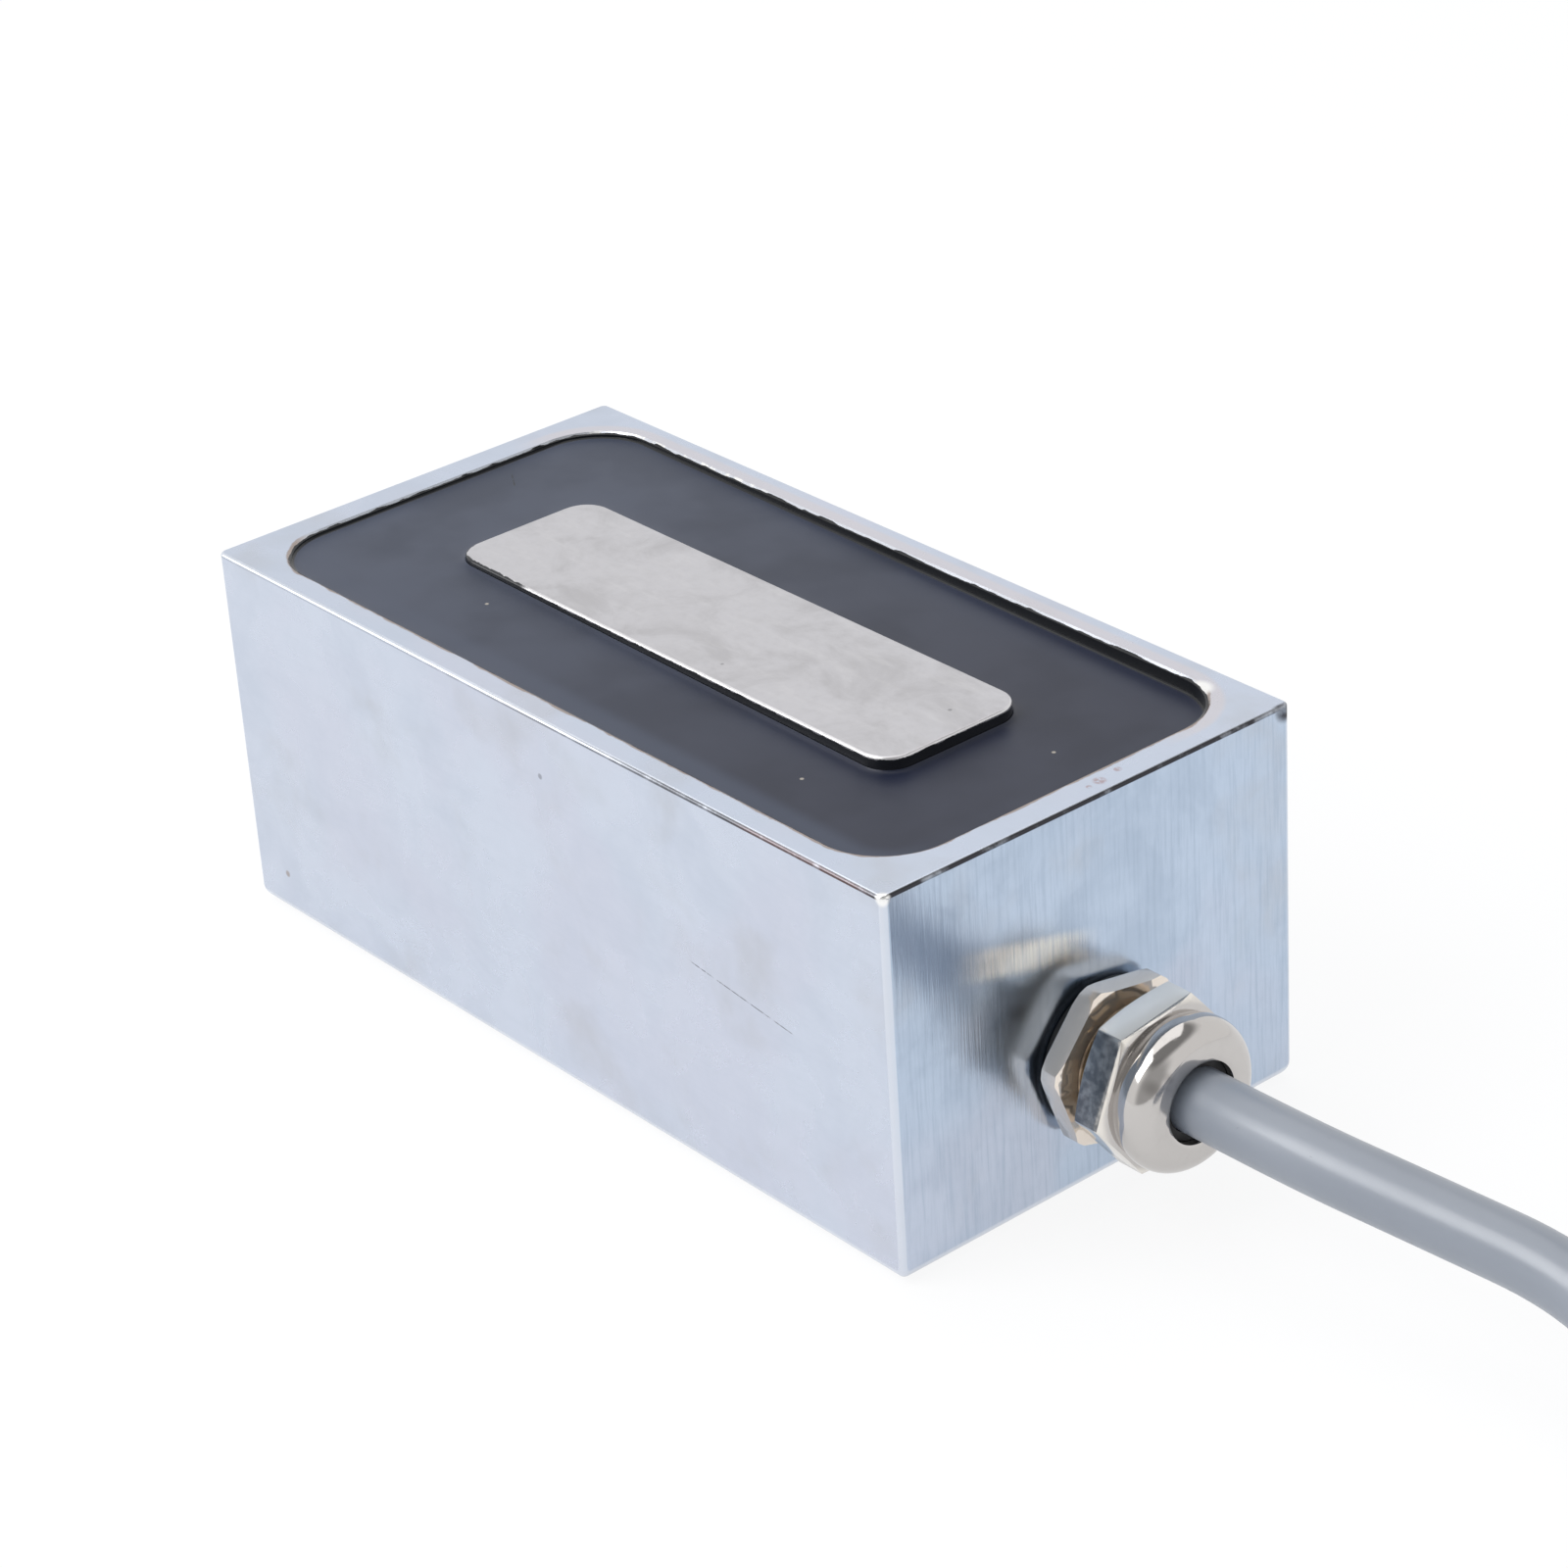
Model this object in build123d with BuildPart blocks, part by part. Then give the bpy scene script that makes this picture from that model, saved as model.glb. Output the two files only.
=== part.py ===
from build123d import *
import math
import os

os.makedirs("parts", exist_ok=True)

# A rectangular holding electromagnet. X runs along the block towards the cable gland, Z points up out of
# the pole face, and the origin is the middle of the back face. All sizes are in millimetres.

# Housing: one steel block with a pocket milled from the pole side
length = 120.0
width = 59.0
height = 47.5
end_wall = 4.2
side_wall = 3.5
base_thickness = 6.5
pocket_corner_radius = 8.5
upright_edge_radius = 0.9
rim_edge_radius = 0.45
foot_edge_radius = 2.0
pocket_edge_chamfer = 0.3

# Pole bar in the middle of the pocket
core_end_inset = 21.25
core_width = 20.4
core_corner_radius = 3.6
core_edge_radius = 0.35

# Screws that hold the pole bar from the back
screw_end_inset = 6.75
screw_thread_radius = 3.0
screw_hole_radius = 3.3
screw_head_radius = 6.0
screw_head_edge = 0.5
screw_sink_clearance = 0.2
screw_recess = 0.3
screw_reach = 12.0
screw_hole_reach = 14.0
socket_flats = 4.0
socket_depth = 2.2
drill_tip_angle = 118.0

# Tapped holes in the back for fastening the magnet
mount_inset = 12.0
mount_tap_radius = 3.4
mount_depth = 18.0
mount_mouth_chamfer = 0.6

# Coil former, winding and tape
bobbin_clearance = 0.15
bobbin_wall = 1.2
bobbin_flange = 1.2
bobbin_drop = 6.5
flange_overhang = 0.5
winding_build = 8.5
tape_thickness = 0.4

# Casting resin, lower at the gland end because the block was not level when it was filled
potting_drop_far_end = 0.9
potting_drop_gland_end = 2.2

# Cable and its cores
cable_radius = 3.8
wire_radius = 1.2
wire_offset = 1.35
jacket_inset = 3.5

# Cable gland, along X
gland_height = 16.5
gland_hole_radius = 8.1
gland_thread_radius = 8.0
gland_thread_length = 8.0
gland_bore_radius = 5.0
gland_neck_radius = 7.3
gland_neck_length = 6.0
gland_seat_depth = 6.5
gland_seat_radius = 6.4
ring_thickness = 1.0
ring_outer_radius = 8.8
flange_flats = 18.0
flange_thickness = 2.7
flange_corner_radius = 9.95
flange_face_radius = 9.0
flange_turn = 50.0
locknut_flats = 19.0
locknut_thickness = 2.6
locknut_corner_radius = 10.6
locknut_face_radius = 9.3

# Dome nut
nut_gap = 2.4
nut_flats = 18.0
nut_turn = 8.0
nut_chamfer = 0.55
nut_face_radius = 8.9
nut_flats_end = 3.85
nut_shoulder_end = 4.55
nut_shoulder_radius = 9.0
dome_ring_radius = 3.1
dome_ring_place = 6.4
dome_ring_height = 5.9
dome_groove_angle = 125.0
nut_mouth_radius = 4.83
nut_thread_clearance = 0.1
nut_thread_length = 3.8
nut_cone_length = 3.5

# Clamping fingers and rubber sleeve inside the gland
cage_clearance = 0.1
cage_inner_radius = 5.1
cage_shoulder_radius = 7.0
cage_tip_radius = 5.5
cage_finger_length = 2.3
cage_slot_width = 0.8
cage_slot_count = 8
sleeve_clearance = 0.05
sleeve_recess = 1.0
sleeve_lip_clearance = 0.08
sleeve_lip_length = 1.9

# Joints between winding ends and cable cores
splice_side = 9.0
splice_drop = 10.5
splice_length = 7.0
splice_radius = 1.5
splice_wall_gap = 2.8
shrink_wall = 0.7
shrink_overlap = 1.5
coil_end_radius = 0.8
coil_end_rise = 2.2
coil_end_inset = 2.1
flange_hole_clearance = 0.2
wire_bend_gap = 5.5

# Spare cable, put away in a coil of two turns side by side and two high, held by a strap
strap_thickness = 0.8
strap_width = 4.0
strap_angle = 285.0
turn_mid_radius = 38.0
straight_reach = 29.1
droop_points = ((61.2, 6.5, 13.1), (78.35, 3.05, 8.9), (92.75, -6.7, 5.8))
coil_distance = 137.4
coil_side = 1.4
coil_entry_angle = 213.0
top_turn_start = 120.0
jacket_end_angle = 350.0
tail_step = 12.0
coil_corner_radius = 3.6
coil_layer_overlap = 2.0
ferrule_radius = 0.95
ferrule_length = 8.0

# Sizes that follow from those above
pocket_length = length - 2 * end_wall
pocket_width = width - 2 * side_wall
wall_outside = length / 2
wall_inside = wall_outside - end_wall
core_length = length - 2 * core_end_inset
screw_spacing = core_length - 2 * screw_end_inset
mount_spacing = screw_spacing - 2 * mount_inset
bobbin_bottom = base_thickness
bobbin_top = height - bobbin_drop
bobbin_height = bobbin_top - bobbin_bottom
winding_bottom = bobbin_bottom + bobbin_flange
winding_top = bobbin_top - bobbin_flange
former_length = core_length + 2 * (bobbin_clearance + bobbin_wall)
former_width = core_width + 2 * (bobbin_clearance + bobbin_wall)
former_corner = core_corner_radius + bobbin_clearance + bobbin_wall
winding_length = former_length + 2 * winding_build
winding_width = former_width + 2 * winding_build
winding_corner = former_corner + winding_build
taped_length = winding_length + 2 * tape_thickness
taped_width = winding_width + 2 * tape_thickness
taped_corner = winding_corner + tape_thickness
flange_length = taped_length + 2 * flange_overhang
flange_width = taped_width + 2 * flange_overhang
flange_corner = taped_corner + flange_overhang
flange_back = wall_outside + ring_thickness
flange_front = flange_back + flange_thickness
gland_inner_end = flange_back - gland_thread_length
nut_back = flange_front + nut_gap
neck_end = flange_front + gland_neck_length
seat_start = neck_end - gland_seat_depth
dome_center_x = nut_back + dome_ring_place
lip_drop = dome_ring_height - nut_mouth_radius
nut_front = dome_center_x + math.sqrt(dome_ring_radius**2 - lip_drop**2)
nut_thread_radius = gland_neck_radius + nut_thread_clearance
cone_start = nut_back + nut_thread_length
cone_end = cone_start + nut_cone_length
splice_x = wall_inside - splice_wall_gap
splice_bottom = height - splice_drop - splice_length
coil_end_x = taped_length / 2 - coil_end_inset - tape_thickness
jacket_start = wall_outside - jacket_inset
coil_center = (wall_outside + coil_distance, coil_side)
layer_height = 2 * cable_radius
coil_bottom = strap_thickness
lower_middle = coil_bottom + cable_radius
upper_bottom = coil_bottom + layer_height
upper_middle = upper_bottom + cable_radius
outer_turn_radius = turn_mid_radius + cable_radius
inner_turn_radius = turn_mid_radius - cable_radius

gland_plane = Plane(origin=(0, 0, gland_height), x_dir=(1, 0, 0), z_dir=(0, -1, 0))
gland_axis = Axis((0, 0, gland_height), (1, 0, 0))


def on_turn(angle, radius, z):
    """A point of the cable coil at an angle in degrees around its middle."""
    turn = math.radians(angle)
    return (coil_center[0] + radius * math.cos(turn), coil_center[1] + radius * math.sin(turn), z)


def turn_plane(angle):
    """The upright plane that cuts the cable coil at an angle in degrees, measured out from its middle."""
    turn = math.radians(angle)
    return Plane(
        origin=(coil_center[0], coil_center[1], 0),
        x_dir=(math.cos(turn), math.sin(turn), 0),
        z_dir=(math.sin(turn), -math.cos(turn), 0),
    )


def corner_radii(points):
    """The largest smooth bend at each inner point: 0.45 of the shorter run over the tangent of half the turn."""
    radii = []
    for before, here, after in zip(points, points[1:], points[2:]):
        run_in = Vector(*here) - Vector(*before)
        run_out = Vector(*after) - Vector(*here)
        half_turn = math.radians(run_in.get_angle(run_out)) / 2
        radii.append(0.45 * min(run_in.length, run_out.length) / math.tan(half_turn))
    return radii


def middle(first, second):
    """The point halfway between two points."""
    return tuple((a + b) / 2 for a, b in zip(first, second))


with BuildPart() as housing:
    with BuildSketch():
        Rectangle(length, width)
    extrude(amount=height)
    fillet(housing.edges().group_by(Axis.Z)[0], radius=foot_edge_radius)
    fillet(housing.edges().filter_by(Axis.Z), radius=upright_edge_radius)
    fillet(housing.edges().group_by(Axis.Z)[-1], radius=rim_edge_radius)
    with BuildSketch(Plane.XY.offset(base_thickness)):
        RectangleRounded(pocket_length, pocket_width, pocket_corner_radius)
    extrude(amount=height, mode=Mode.SUBTRACT)
    with BuildSketch(Plane.XY.offset(height)):
        RectangleRounded(
            pocket_length + 2 * pocket_edge_chamfer,
            pocket_width + 2 * pocket_edge_chamfer,
            pocket_corner_radius + pocket_edge_chamfer,
        )
    extrude(amount=-pocket_edge_chamfer, taper=45, mode=Mode.SUBTRACT)
    with BuildSketch(Plane.YZ.offset(wall_outside)):
        with Locations((0, gland_height)):
            Circle(gland_hole_radius)
    extrude(amount=-end_wall, mode=Mode.SUBTRACT)
    with BuildSketch():
        with GridLocations(screw_spacing, 1, 2, 1):
            Circle(screw_hole_radius)
        with GridLocations(mount_spacing, 1, 2, 1):
            Circle(mount_tap_radius)
    extrude(amount=base_thickness, mode=Mode.SUBTRACT)
    sink_radius = screw_head_radius + screw_sink_clearance
    sink_depth = screw_recess + screw_head_edge
    with BuildSketch():
        with GridLocations(screw_spacing, 1, 2, 1):
            Circle(sink_radius)
    extrude(amount=sink_depth, mode=Mode.SUBTRACT)
    with BuildSketch(Plane.XY.offset(sink_depth)):
        with GridLocations(screw_spacing, 1, 2, 1):
            Circle(sink_radius)
    extrude(amount=sink_radius - screw_hole_radius, taper=45, mode=Mode.SUBTRACT)
    with BuildSketch():
        with GridLocations(mount_spacing, 1, 2, 1):
            Circle(mount_tap_radius + mount_mouth_chamfer)
    extrude(amount=mount_mouth_chamfer, taper=45, mode=Mode.SUBTRACT)

with BuildPart() as core:
    with BuildSketch(Plane.XY.offset(base_thickness)):
        RectangleRounded(core_length, core_width, core_corner_radius)
    extrude(amount=height - base_thickness)
    fillet(core.edges().group_by(Axis.Z)[-1], radius=core_edge_radius)
    drill_cone = 90 - drill_tip_angle / 2
    for spacing, radius, depth in (
        (screw_spacing, screw_thread_radius, screw_hole_reach),
        (mount_spacing, mount_tap_radius, mount_depth - base_thickness),
    ):
        with BuildSketch(Plane.XY.offset(base_thickness)):
            with GridLocations(spacing, 1, 2, 1):
                Circle(radius)
        extrude(amount=depth, mode=Mode.SUBTRACT)
        for side in (-1, 1):
            place = Plane(origin=(side * spacing / 2, 0, base_thickness + depth), z_dir=(0, -1, 0), x_dir=(1, 0, 0))
            with BuildSketch(place):
                with BuildLine():
                    Polyline(
                        (0, 0), (radius, 0), (0, radius * math.tan(math.radians(drill_cone))), close=True
                    )
                make_face()
            revolve(axis=Axis((side * spacing / 2, 0, 0), (0, 0, 1)), mode=Mode.SUBTRACT)

with BuildPart() as core_screws:
    for side in (-1, 1):
        screw_plane = Plane(origin=(side * screw_spacing / 2, 0, 0), x_dir=(1, 0, 0), z_dir=(0, -1, 0))
        cone_top = screw_recess + screw_head_edge + screw_head_radius - screw_thread_radius
        with BuildSketch(screw_plane):
            with BuildLine():
                Polyline(
                    (0, screw_recess),
                    (screw_head_radius, screw_recess),
                    (screw_head_radius, screw_recess + screw_head_edge),
                    (screw_thread_radius, cone_top),
                    (screw_thread_radius, base_thickness + screw_reach),
                    (0, base_thickness + screw_reach),
                    close=True,
                )
            make_face()
        revolve(axis=Axis((side * screw_spacing / 2, 0, 0), (0, 0, 1)))
    with BuildSketch(Plane.XY.offset(screw_recess)):
        with GridLocations(screw_spacing, 1, 2, 1):
            RegularPolygon(socket_flats / 2, 6, major_radius=False)
    extrude(amount=socket_depth, mode=Mode.SUBTRACT)

with BuildPart() as bobbin:
    with BuildSketch(Plane.XY.offset(bobbin_bottom)):
        RectangleRounded(former_length, former_width, former_corner)
    extrude(amount=bobbin_height)
    for flange_level in (bobbin_bottom, winding_top):
        with BuildSketch(Plane.XY.offset(flange_level)):
            RectangleRounded(flange_length, flange_width, flange_corner)
        extrude(amount=bobbin_flange)
    with BuildSketch(Plane.XY.offset(bobbin_bottom)):
        RectangleRounded(
            core_length + 2 * bobbin_clearance,
            core_width + 2 * bobbin_clearance,
            core_corner_radius + bobbin_clearance,
        )
    extrude(amount=bobbin_height, mode=Mode.SUBTRACT)
    with BuildSketch(Plane.XY.offset(winding_top)):
        with Locations((coil_end_x, -splice_side), (coil_end_x, splice_side)):
            Circle(coil_end_radius + flange_hole_clearance)
    extrude(amount=bobbin_flange, mode=Mode.SUBTRACT)

with BuildPart() as winding:
    with BuildSketch(Plane.XY.offset(winding_bottom)):
        RectangleRounded(winding_length, winding_width, winding_corner)
        RectangleRounded(former_length, former_width, former_corner, mode=Mode.SUBTRACT)
    extrude(amount=winding_top - winding_bottom)

with BuildPart() as winding_tape:
    with BuildSketch(Plane.XY.offset(winding_bottom)):
        RectangleRounded(taped_length, taped_width, taped_corner)
        RectangleRounded(winding_length, winding_width, winding_corner, mode=Mode.SUBTRACT)
    extrude(amount=winding_top - winding_bottom)

with BuildPart() as gland_body:
    with BuildSketch(Plane.YZ.offset(flange_back)):
        with Locations((0, gland_height)):
            RegularPolygon(flange_flats / 2, 6, major_radius=False, rotation=flange_turn)
    extrude(amount=flange_thickness)
    corner_slope = (flange_corner_radius - flange_face_radius) * math.tan(math.radians(30))
    with BuildSketch(gland_plane):
        with BuildLine():
            Polyline(
                (flange_back, 0),
                (flange_back, flange_corner_radius),
                (flange_front - corner_slope, flange_corner_radius),
                (flange_front, flange_face_radius),
                (flange_front, 0),
                close=True,
            )
        make_face()
    revolve(axis=gland_axis, mode=Mode.INTERSECT)
    with BuildSketch(gland_plane):
        with BuildLine():
            Polyline(
                (gland_inner_end, 0),
                (gland_inner_end, gland_thread_radius),
                (flange_back, gland_thread_radius),
                (flange_back, gland_neck_radius),
                (neck_end, gland_neck_radius),
                (neck_end, 0),
                close=True,
            )
        make_face()
    revolve(axis=gland_axis)
    with BuildSketch(gland_plane):
        with BuildLine():
            Polyline(
                (gland_inner_end, 0),
                (gland_inner_end, gland_bore_radius),
                (seat_start, gland_bore_radius),
                (seat_start, gland_seat_radius),
                (neck_end, gland_seat_radius),
                (neck_end, 0),
                close=True,
            )
        make_face()
    revolve(axis=gland_axis, mode=Mode.SUBTRACT)

with BuildPart() as gland_seal_ring:
    with BuildSketch(Plane.YZ.offset(wall_outside)):
        with Locations((0, gland_height)):
            Circle(ring_outer_radius)
            Circle(gland_thread_radius, mode=Mode.SUBTRACT)
    extrude(amount=ring_thickness)
    fillet(gland_seal_ring.edges().group_by(SortBy.LENGTH)[-1], radius=ring_thickness * 0.4)

with BuildPart() as gland_locknut:
    locknut_face = wall_inside - locknut_thickness
    with BuildSketch(Plane.YZ.offset(locknut_face)):
        with Locations((0, gland_height)):
            RegularPolygon(locknut_flats / 2, 6, major_radius=False)
    extrude(amount=locknut_thickness)
    locknut_slope = (locknut_corner_radius - locknut_face_radius) * math.tan(math.radians(30))
    with BuildSketch(gland_plane):
        with BuildLine():
            Polyline(
                (locknut_face, gland_thread_radius),
                (locknut_face, locknut_face_radius),
                (locknut_face + locknut_slope, locknut_corner_radius),
                (wall_inside - locknut_slope, locknut_corner_radius),
                (wall_inside, locknut_face_radius),
                (wall_inside, gland_thread_radius),
                close=True,
            )
        make_face()
    revolve(axis=gland_axis, mode=Mode.INTERSECT)

with BuildPart() as gland_nut:
    with BuildSketch(Plane.YZ.offset(nut_back)):
        with Locations((0, gland_height)):
            RegularPolygon(nut_flats / 2, 6, major_radius=False, rotation=nut_turn)
    extrude(amount=nut_front - nut_back)
    nut_crest = nut_flats / math.sqrt(3) + 0.05
    groove_turn = math.radians(dome_groove_angle)
    dome_start = (
        dome_center_x + dome_ring_radius * math.cos(groove_turn),
        dome_ring_height + dome_ring_radius * math.sin(groove_turn),
    )
    dome_top = (dome_center_x + dome_ring_radius * 0.6, dome_ring_height + dome_ring_radius * 0.8)
    with BuildSketch(gland_plane):
        with BuildLine():
            Polyline(
                (nut_front, nut_mouth_radius),
                (nut_front, 0),
                (nut_back, 0),
                (nut_back, nut_face_radius),
                (nut_back + nut_chamfer, nut_crest),
                (nut_back + nut_flats_end, nut_crest),
                (nut_back + nut_shoulder_end, nut_shoulder_radius),
                dome_start,
            )
            ThreePointArc(dome_start, dome_top, (nut_front, nut_mouth_radius))
        make_face()
    revolve(axis=gland_axis, mode=Mode.INTERSECT)
    with BuildSketch(gland_plane):
        with BuildLine():
            Polyline(
                (nut_back, 0),
                (nut_back, nut_thread_radius),
                (cone_start, nut_thread_radius),
                (cone_end, nut_mouth_radius),
                (nut_front, nut_mouth_radius),
                (nut_front, 0),
                close=True,
            )
        make_face()
    revolve(axis=gland_axis, mode=Mode.SUBTRACT)

with BuildPart() as gland_cage:
    cage_front = cone_start + cage_clearance + cage_finger_length
    with BuildSketch(gland_plane):
        with BuildLine():
            Polyline(
                (seat_start, cage_inner_radius),
                (seat_start, gland_seat_radius - cage_clearance),
                (neck_end + cage_clearance, gland_seat_radius - cage_clearance),
                (neck_end + cage_clearance, cage_shoulder_radius),
                (cone_start + cage_clearance, cage_shoulder_radius),
                (cage_front, cage_tip_radius),
                (cage_front, cage_inner_radius),
                close=True,
            )
        make_face()
    revolve(axis=gland_axis)
    finger_root = neck_end + cage_clearance
    with BuildSketch(Plane.YZ.offset(finger_root)):
        with Locations((0, gland_height)):
            with PolarLocations(cage_shoulder_radius / 2, cage_slot_count // 2, angular_range=180):
                Rectangle(3 * cage_shoulder_radius, cage_slot_width)
    extrude(amount=cage_front - finger_root, mode=Mode.SUBTRACT)

with BuildPart() as gland_sleeve:
    sleeve_radius = cage_inner_radius - sleeve_clearance
    sleeve_front = nut_front - sleeve_recess
    lip_start = sleeve_front - sleeve_lip_length
    lip_radius = nut_mouth_radius - sleeve_lip_clearance
    with BuildSketch(gland_plane):
        with BuildLine():
            Polyline(
                (seat_start, cable_radius),
                (seat_start, sleeve_radius),
                (lip_start - (sleeve_radius - lip_radius), sleeve_radius),
                (lip_start, lip_radius),
                (sleeve_front, lip_radius),
                (sleeve_front, cable_radius),
                close=True,
            )
        make_face()
    revolve(axis=gland_axis)

# The cable's route: straight out of the gland, a slight droop to the floor, and a swing onto its coil
entry_point = on_turn(coil_entry_angle, outer_turn_radius, lower_middle)
cable_route = [
    (jacket_start, 0.0, gland_height),
    (wall_outside + straight_reach, 0.0, gland_height),
    *((wall_outside + out, across, up) for out, across, up in droop_points),
    entry_point,
]
cable_bends = corner_radii(cable_route)
print("cable bend radii", [round(bend, 1) for bend in cable_bends])
coil_joint = middle(cable_route[3], cable_route[4])

with BuildPart() as cable_lead:
    with BuildLine():
        lead_line = FilletPolyline(*cable_route[:4], coil_joint, radius=cable_bends[:3])
    with BuildSketch(Plane(origin=lead_line @ 0, z_dir=lead_line % 0)):
        Circle(cable_radius)
    sweep()
lead_length = lead_line.length
lead_ratio = cable_lead.part.volume / (math.pi * cable_radius**2 * lead_length)
print("cable lead length", round(lead_length, 1), "volume ratio", round(lead_ratio, 4))

coil_axis = Axis((coil_center[0], coil_center[1], 0), (0, 0, 1))
with BuildPart() as cable_coil:
    with BuildSketch(turn_plane(0)):
        with Locations((turn_mid_radius, lower_middle)):
            RectangleRounded(4 * cable_radius, layer_height, coil_corner_radius)
        with Locations((inner_turn_radius, upper_middle - coil_layer_overlap / 2)):
            RectangleRounded(layer_height, layer_height + coil_layer_overlap, coil_corner_radius)
    revolve(axis=coil_axis)
    with BuildSketch(turn_plane(top_turn_start)):
        with Locations((outer_turn_radius, upper_middle - coil_layer_overlap / 2)):
            RectangleRounded(layer_height, layer_height + coil_layer_overlap, coil_corner_radius)
    revolve(axis=coil_axis, revolution_arc=jacket_end_angle - top_turn_start)
    with BuildLine():
        entry_line = FilletPolyline(coil_joint, *cable_route[4:], radius=cable_bends[3:])
    with BuildSketch(Plane(origin=entry_line @ 0, z_dir=entry_line % 0)):
        Circle(cable_radius)
    sweep()

with BuildPart() as cable_tie:
    strap_arc = math.degrees(strap_width / turn_mid_radius)
    bundle_width = 4 * cable_radius
    bundle_height = 2 * layer_height
    with BuildSketch(turn_plane(strap_angle)):
        with Locations((turn_mid_radius, coil_bottom + layer_height)):
            RectangleRounded(
                bundle_width + 2 * strap_thickness,
                bundle_height + 2 * strap_thickness,
                coil_corner_radius + strap_thickness,
            )
            RectangleRounded(bundle_width, bundle_height, coil_corner_radius, mode=Mode.SUBTRACT)
    revolve(axis=coil_axis, revolution_arc=strap_arc)

tails = {}
ferrules = {}
core_wires = {}
coil_ends = {}
splices = {}
splice_sleeves = {}
for side, wire, coil_end in ((-1, "brown", "start"), (1, "blue", "finish")):
    tail_radius = outer_turn_radius + side * wire_offset
    tail_rest = upper_bottom + wire_radius
    tail_outside = tail_radius / math.cos(math.radians(tail_step / 2))
    tail_route = [
        on_turn(jacket_end_angle, tail_radius, upper_middle),
        on_turn(jacket_end_angle + tail_step * 0.5, tail_outside, upper_middle),
        on_turn(jacket_end_angle + tail_step * 1.5, tail_outside, tail_rest + 0.7),
        on_turn(jacket_end_angle + tail_step * 2.5, tail_outside, tail_rest),
        on_turn(jacket_end_angle + tail_step * 3.4, tail_radius, tail_rest),
    ]
    with BuildPart() as tail:
        with BuildLine():
            tail_line = FilletPolyline(*tail_route, radius=corner_radii(tail_route))
        with BuildSketch(Plane(origin=tail_line @ 0, z_dir=tail_line % 0)):
            Circle(wire_radius)
        sweep()
    tails[wire] = tail
    with BuildPart() as ferrule:
        with BuildSketch(Plane(origin=tail_line @ 1, z_dir=tail_line % 1)):
            Circle(ferrule_radius)
        extrude(amount=ferrule_length)
    ferrules[wire] = ferrule
    wire_turn_x = jacket_start - wire_bend_gap
    wire_route = [
        (jacket_start, side * wire_offset, gland_height),
        (wire_turn_x, side * wire_offset, gland_height),
        (wire_turn_x, side * 6.5, gland_height + 6.5),
        (splice_x, side * splice_side, splice_bottom - 4.0),
        (splice_x, side * splice_side, splice_bottom),
    ]
    with BuildPart() as core_wire:
        with BuildLine():
            wire_line = FilletPolyline(*wire_route, radius=corner_radii(wire_route))
        with BuildSketch(Plane(origin=wire_line @ 0, z_dir=wire_line % 0)):
            Circle(wire_radius)
        sweep()
    core_wires[wire] = core_wire
    with BuildPart() as splice:
        with BuildSketch(Plane.XY.offset(splice_bottom)):
            with Locations((splice_x, side * splice_side)):
                Circle(splice_radius)
        extrude(amount=splice_length)
    splices[coil_end] = splice
    with BuildPart() as splice_sleeve:
        with BuildSketch(Plane.XY.offset(splice_bottom - shrink_overlap)):
            with Locations((splice_x, side * splice_side)):
                Circle(splice_radius + shrink_wall)
                Circle(splice_radius, mode=Mode.SUBTRACT)
        extrude(amount=splice_length + 2 * shrink_overlap)
    splice_sleeves[coil_end] = splice_sleeve
    end_level = bobbin_top + coil_end_rise
    end_route = [
        (splice_x, side * splice_side, splice_bottom + splice_length),
        (splice_x, side * splice_side, end_level),
        (coil_end_x, side * splice_side, end_level),
        (coil_end_x, side * splice_side, winding_top),
    ]
    with BuildPart() as winding_end:
        with BuildLine():
            end_line = FilletPolyline(*end_route, radius=corner_radii(end_route))
        with BuildSketch(Plane(origin=end_line @ 0, z_dir=end_line % 0)):
            Circle(coil_end_radius)
        sweep()
    coil_ends[coil_end] = winding_end

with BuildPart() as potting:
    with BuildSketch(Plane.XY.offset(base_thickness)):
        RectangleRounded(pocket_length, pocket_width, pocket_corner_radius)
    extrude(amount=height - base_thickness)
    fill_slope = math.degrees(math.atan((potting_drop_gland_end - potting_drop_far_end) / pocket_length))
    fill_middle = height - (potting_drop_gland_end + potting_drop_far_end) / 2
    fill_plane = Plane(origin=(0, 0, fill_middle)).rotated((0, fill_slope, 0))
    split(bisect_by=fill_plane, keep=Keep.BOTTOM)
    with BuildSketch(gland_plane):
        with BuildLine():
            Polyline(
                (gland_inner_end, 0),
                (gland_inner_end, gland_thread_radius),
                (wall_inside, gland_thread_radius),
                (wall_inside, 0),
                close=True,
            )
        make_face()
    revolve(axis=gland_axis, mode=Mode.SUBTRACT)
    with BuildSketch(Plane.XY.offset(bobbin_bottom)):
        RectangleRounded(
            core_length + 2 * bobbin_clearance,
            core_width + 2 * bobbin_clearance,
            core_corner_radius + bobbin_clearance,
        )
    extrude(amount=bobbin_height, mode=Mode.SUBTRACT)
    add([core.part, bobbin.part, winding.part, winding_tape.part, gland_locknut.part], mode=Mode.SUBTRACT)
    for group in (core_wires, splices, splice_sleeves, coil_ends):
        add([piece.part for piece in group.values()], mode=Mode.SUBTRACT)

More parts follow.
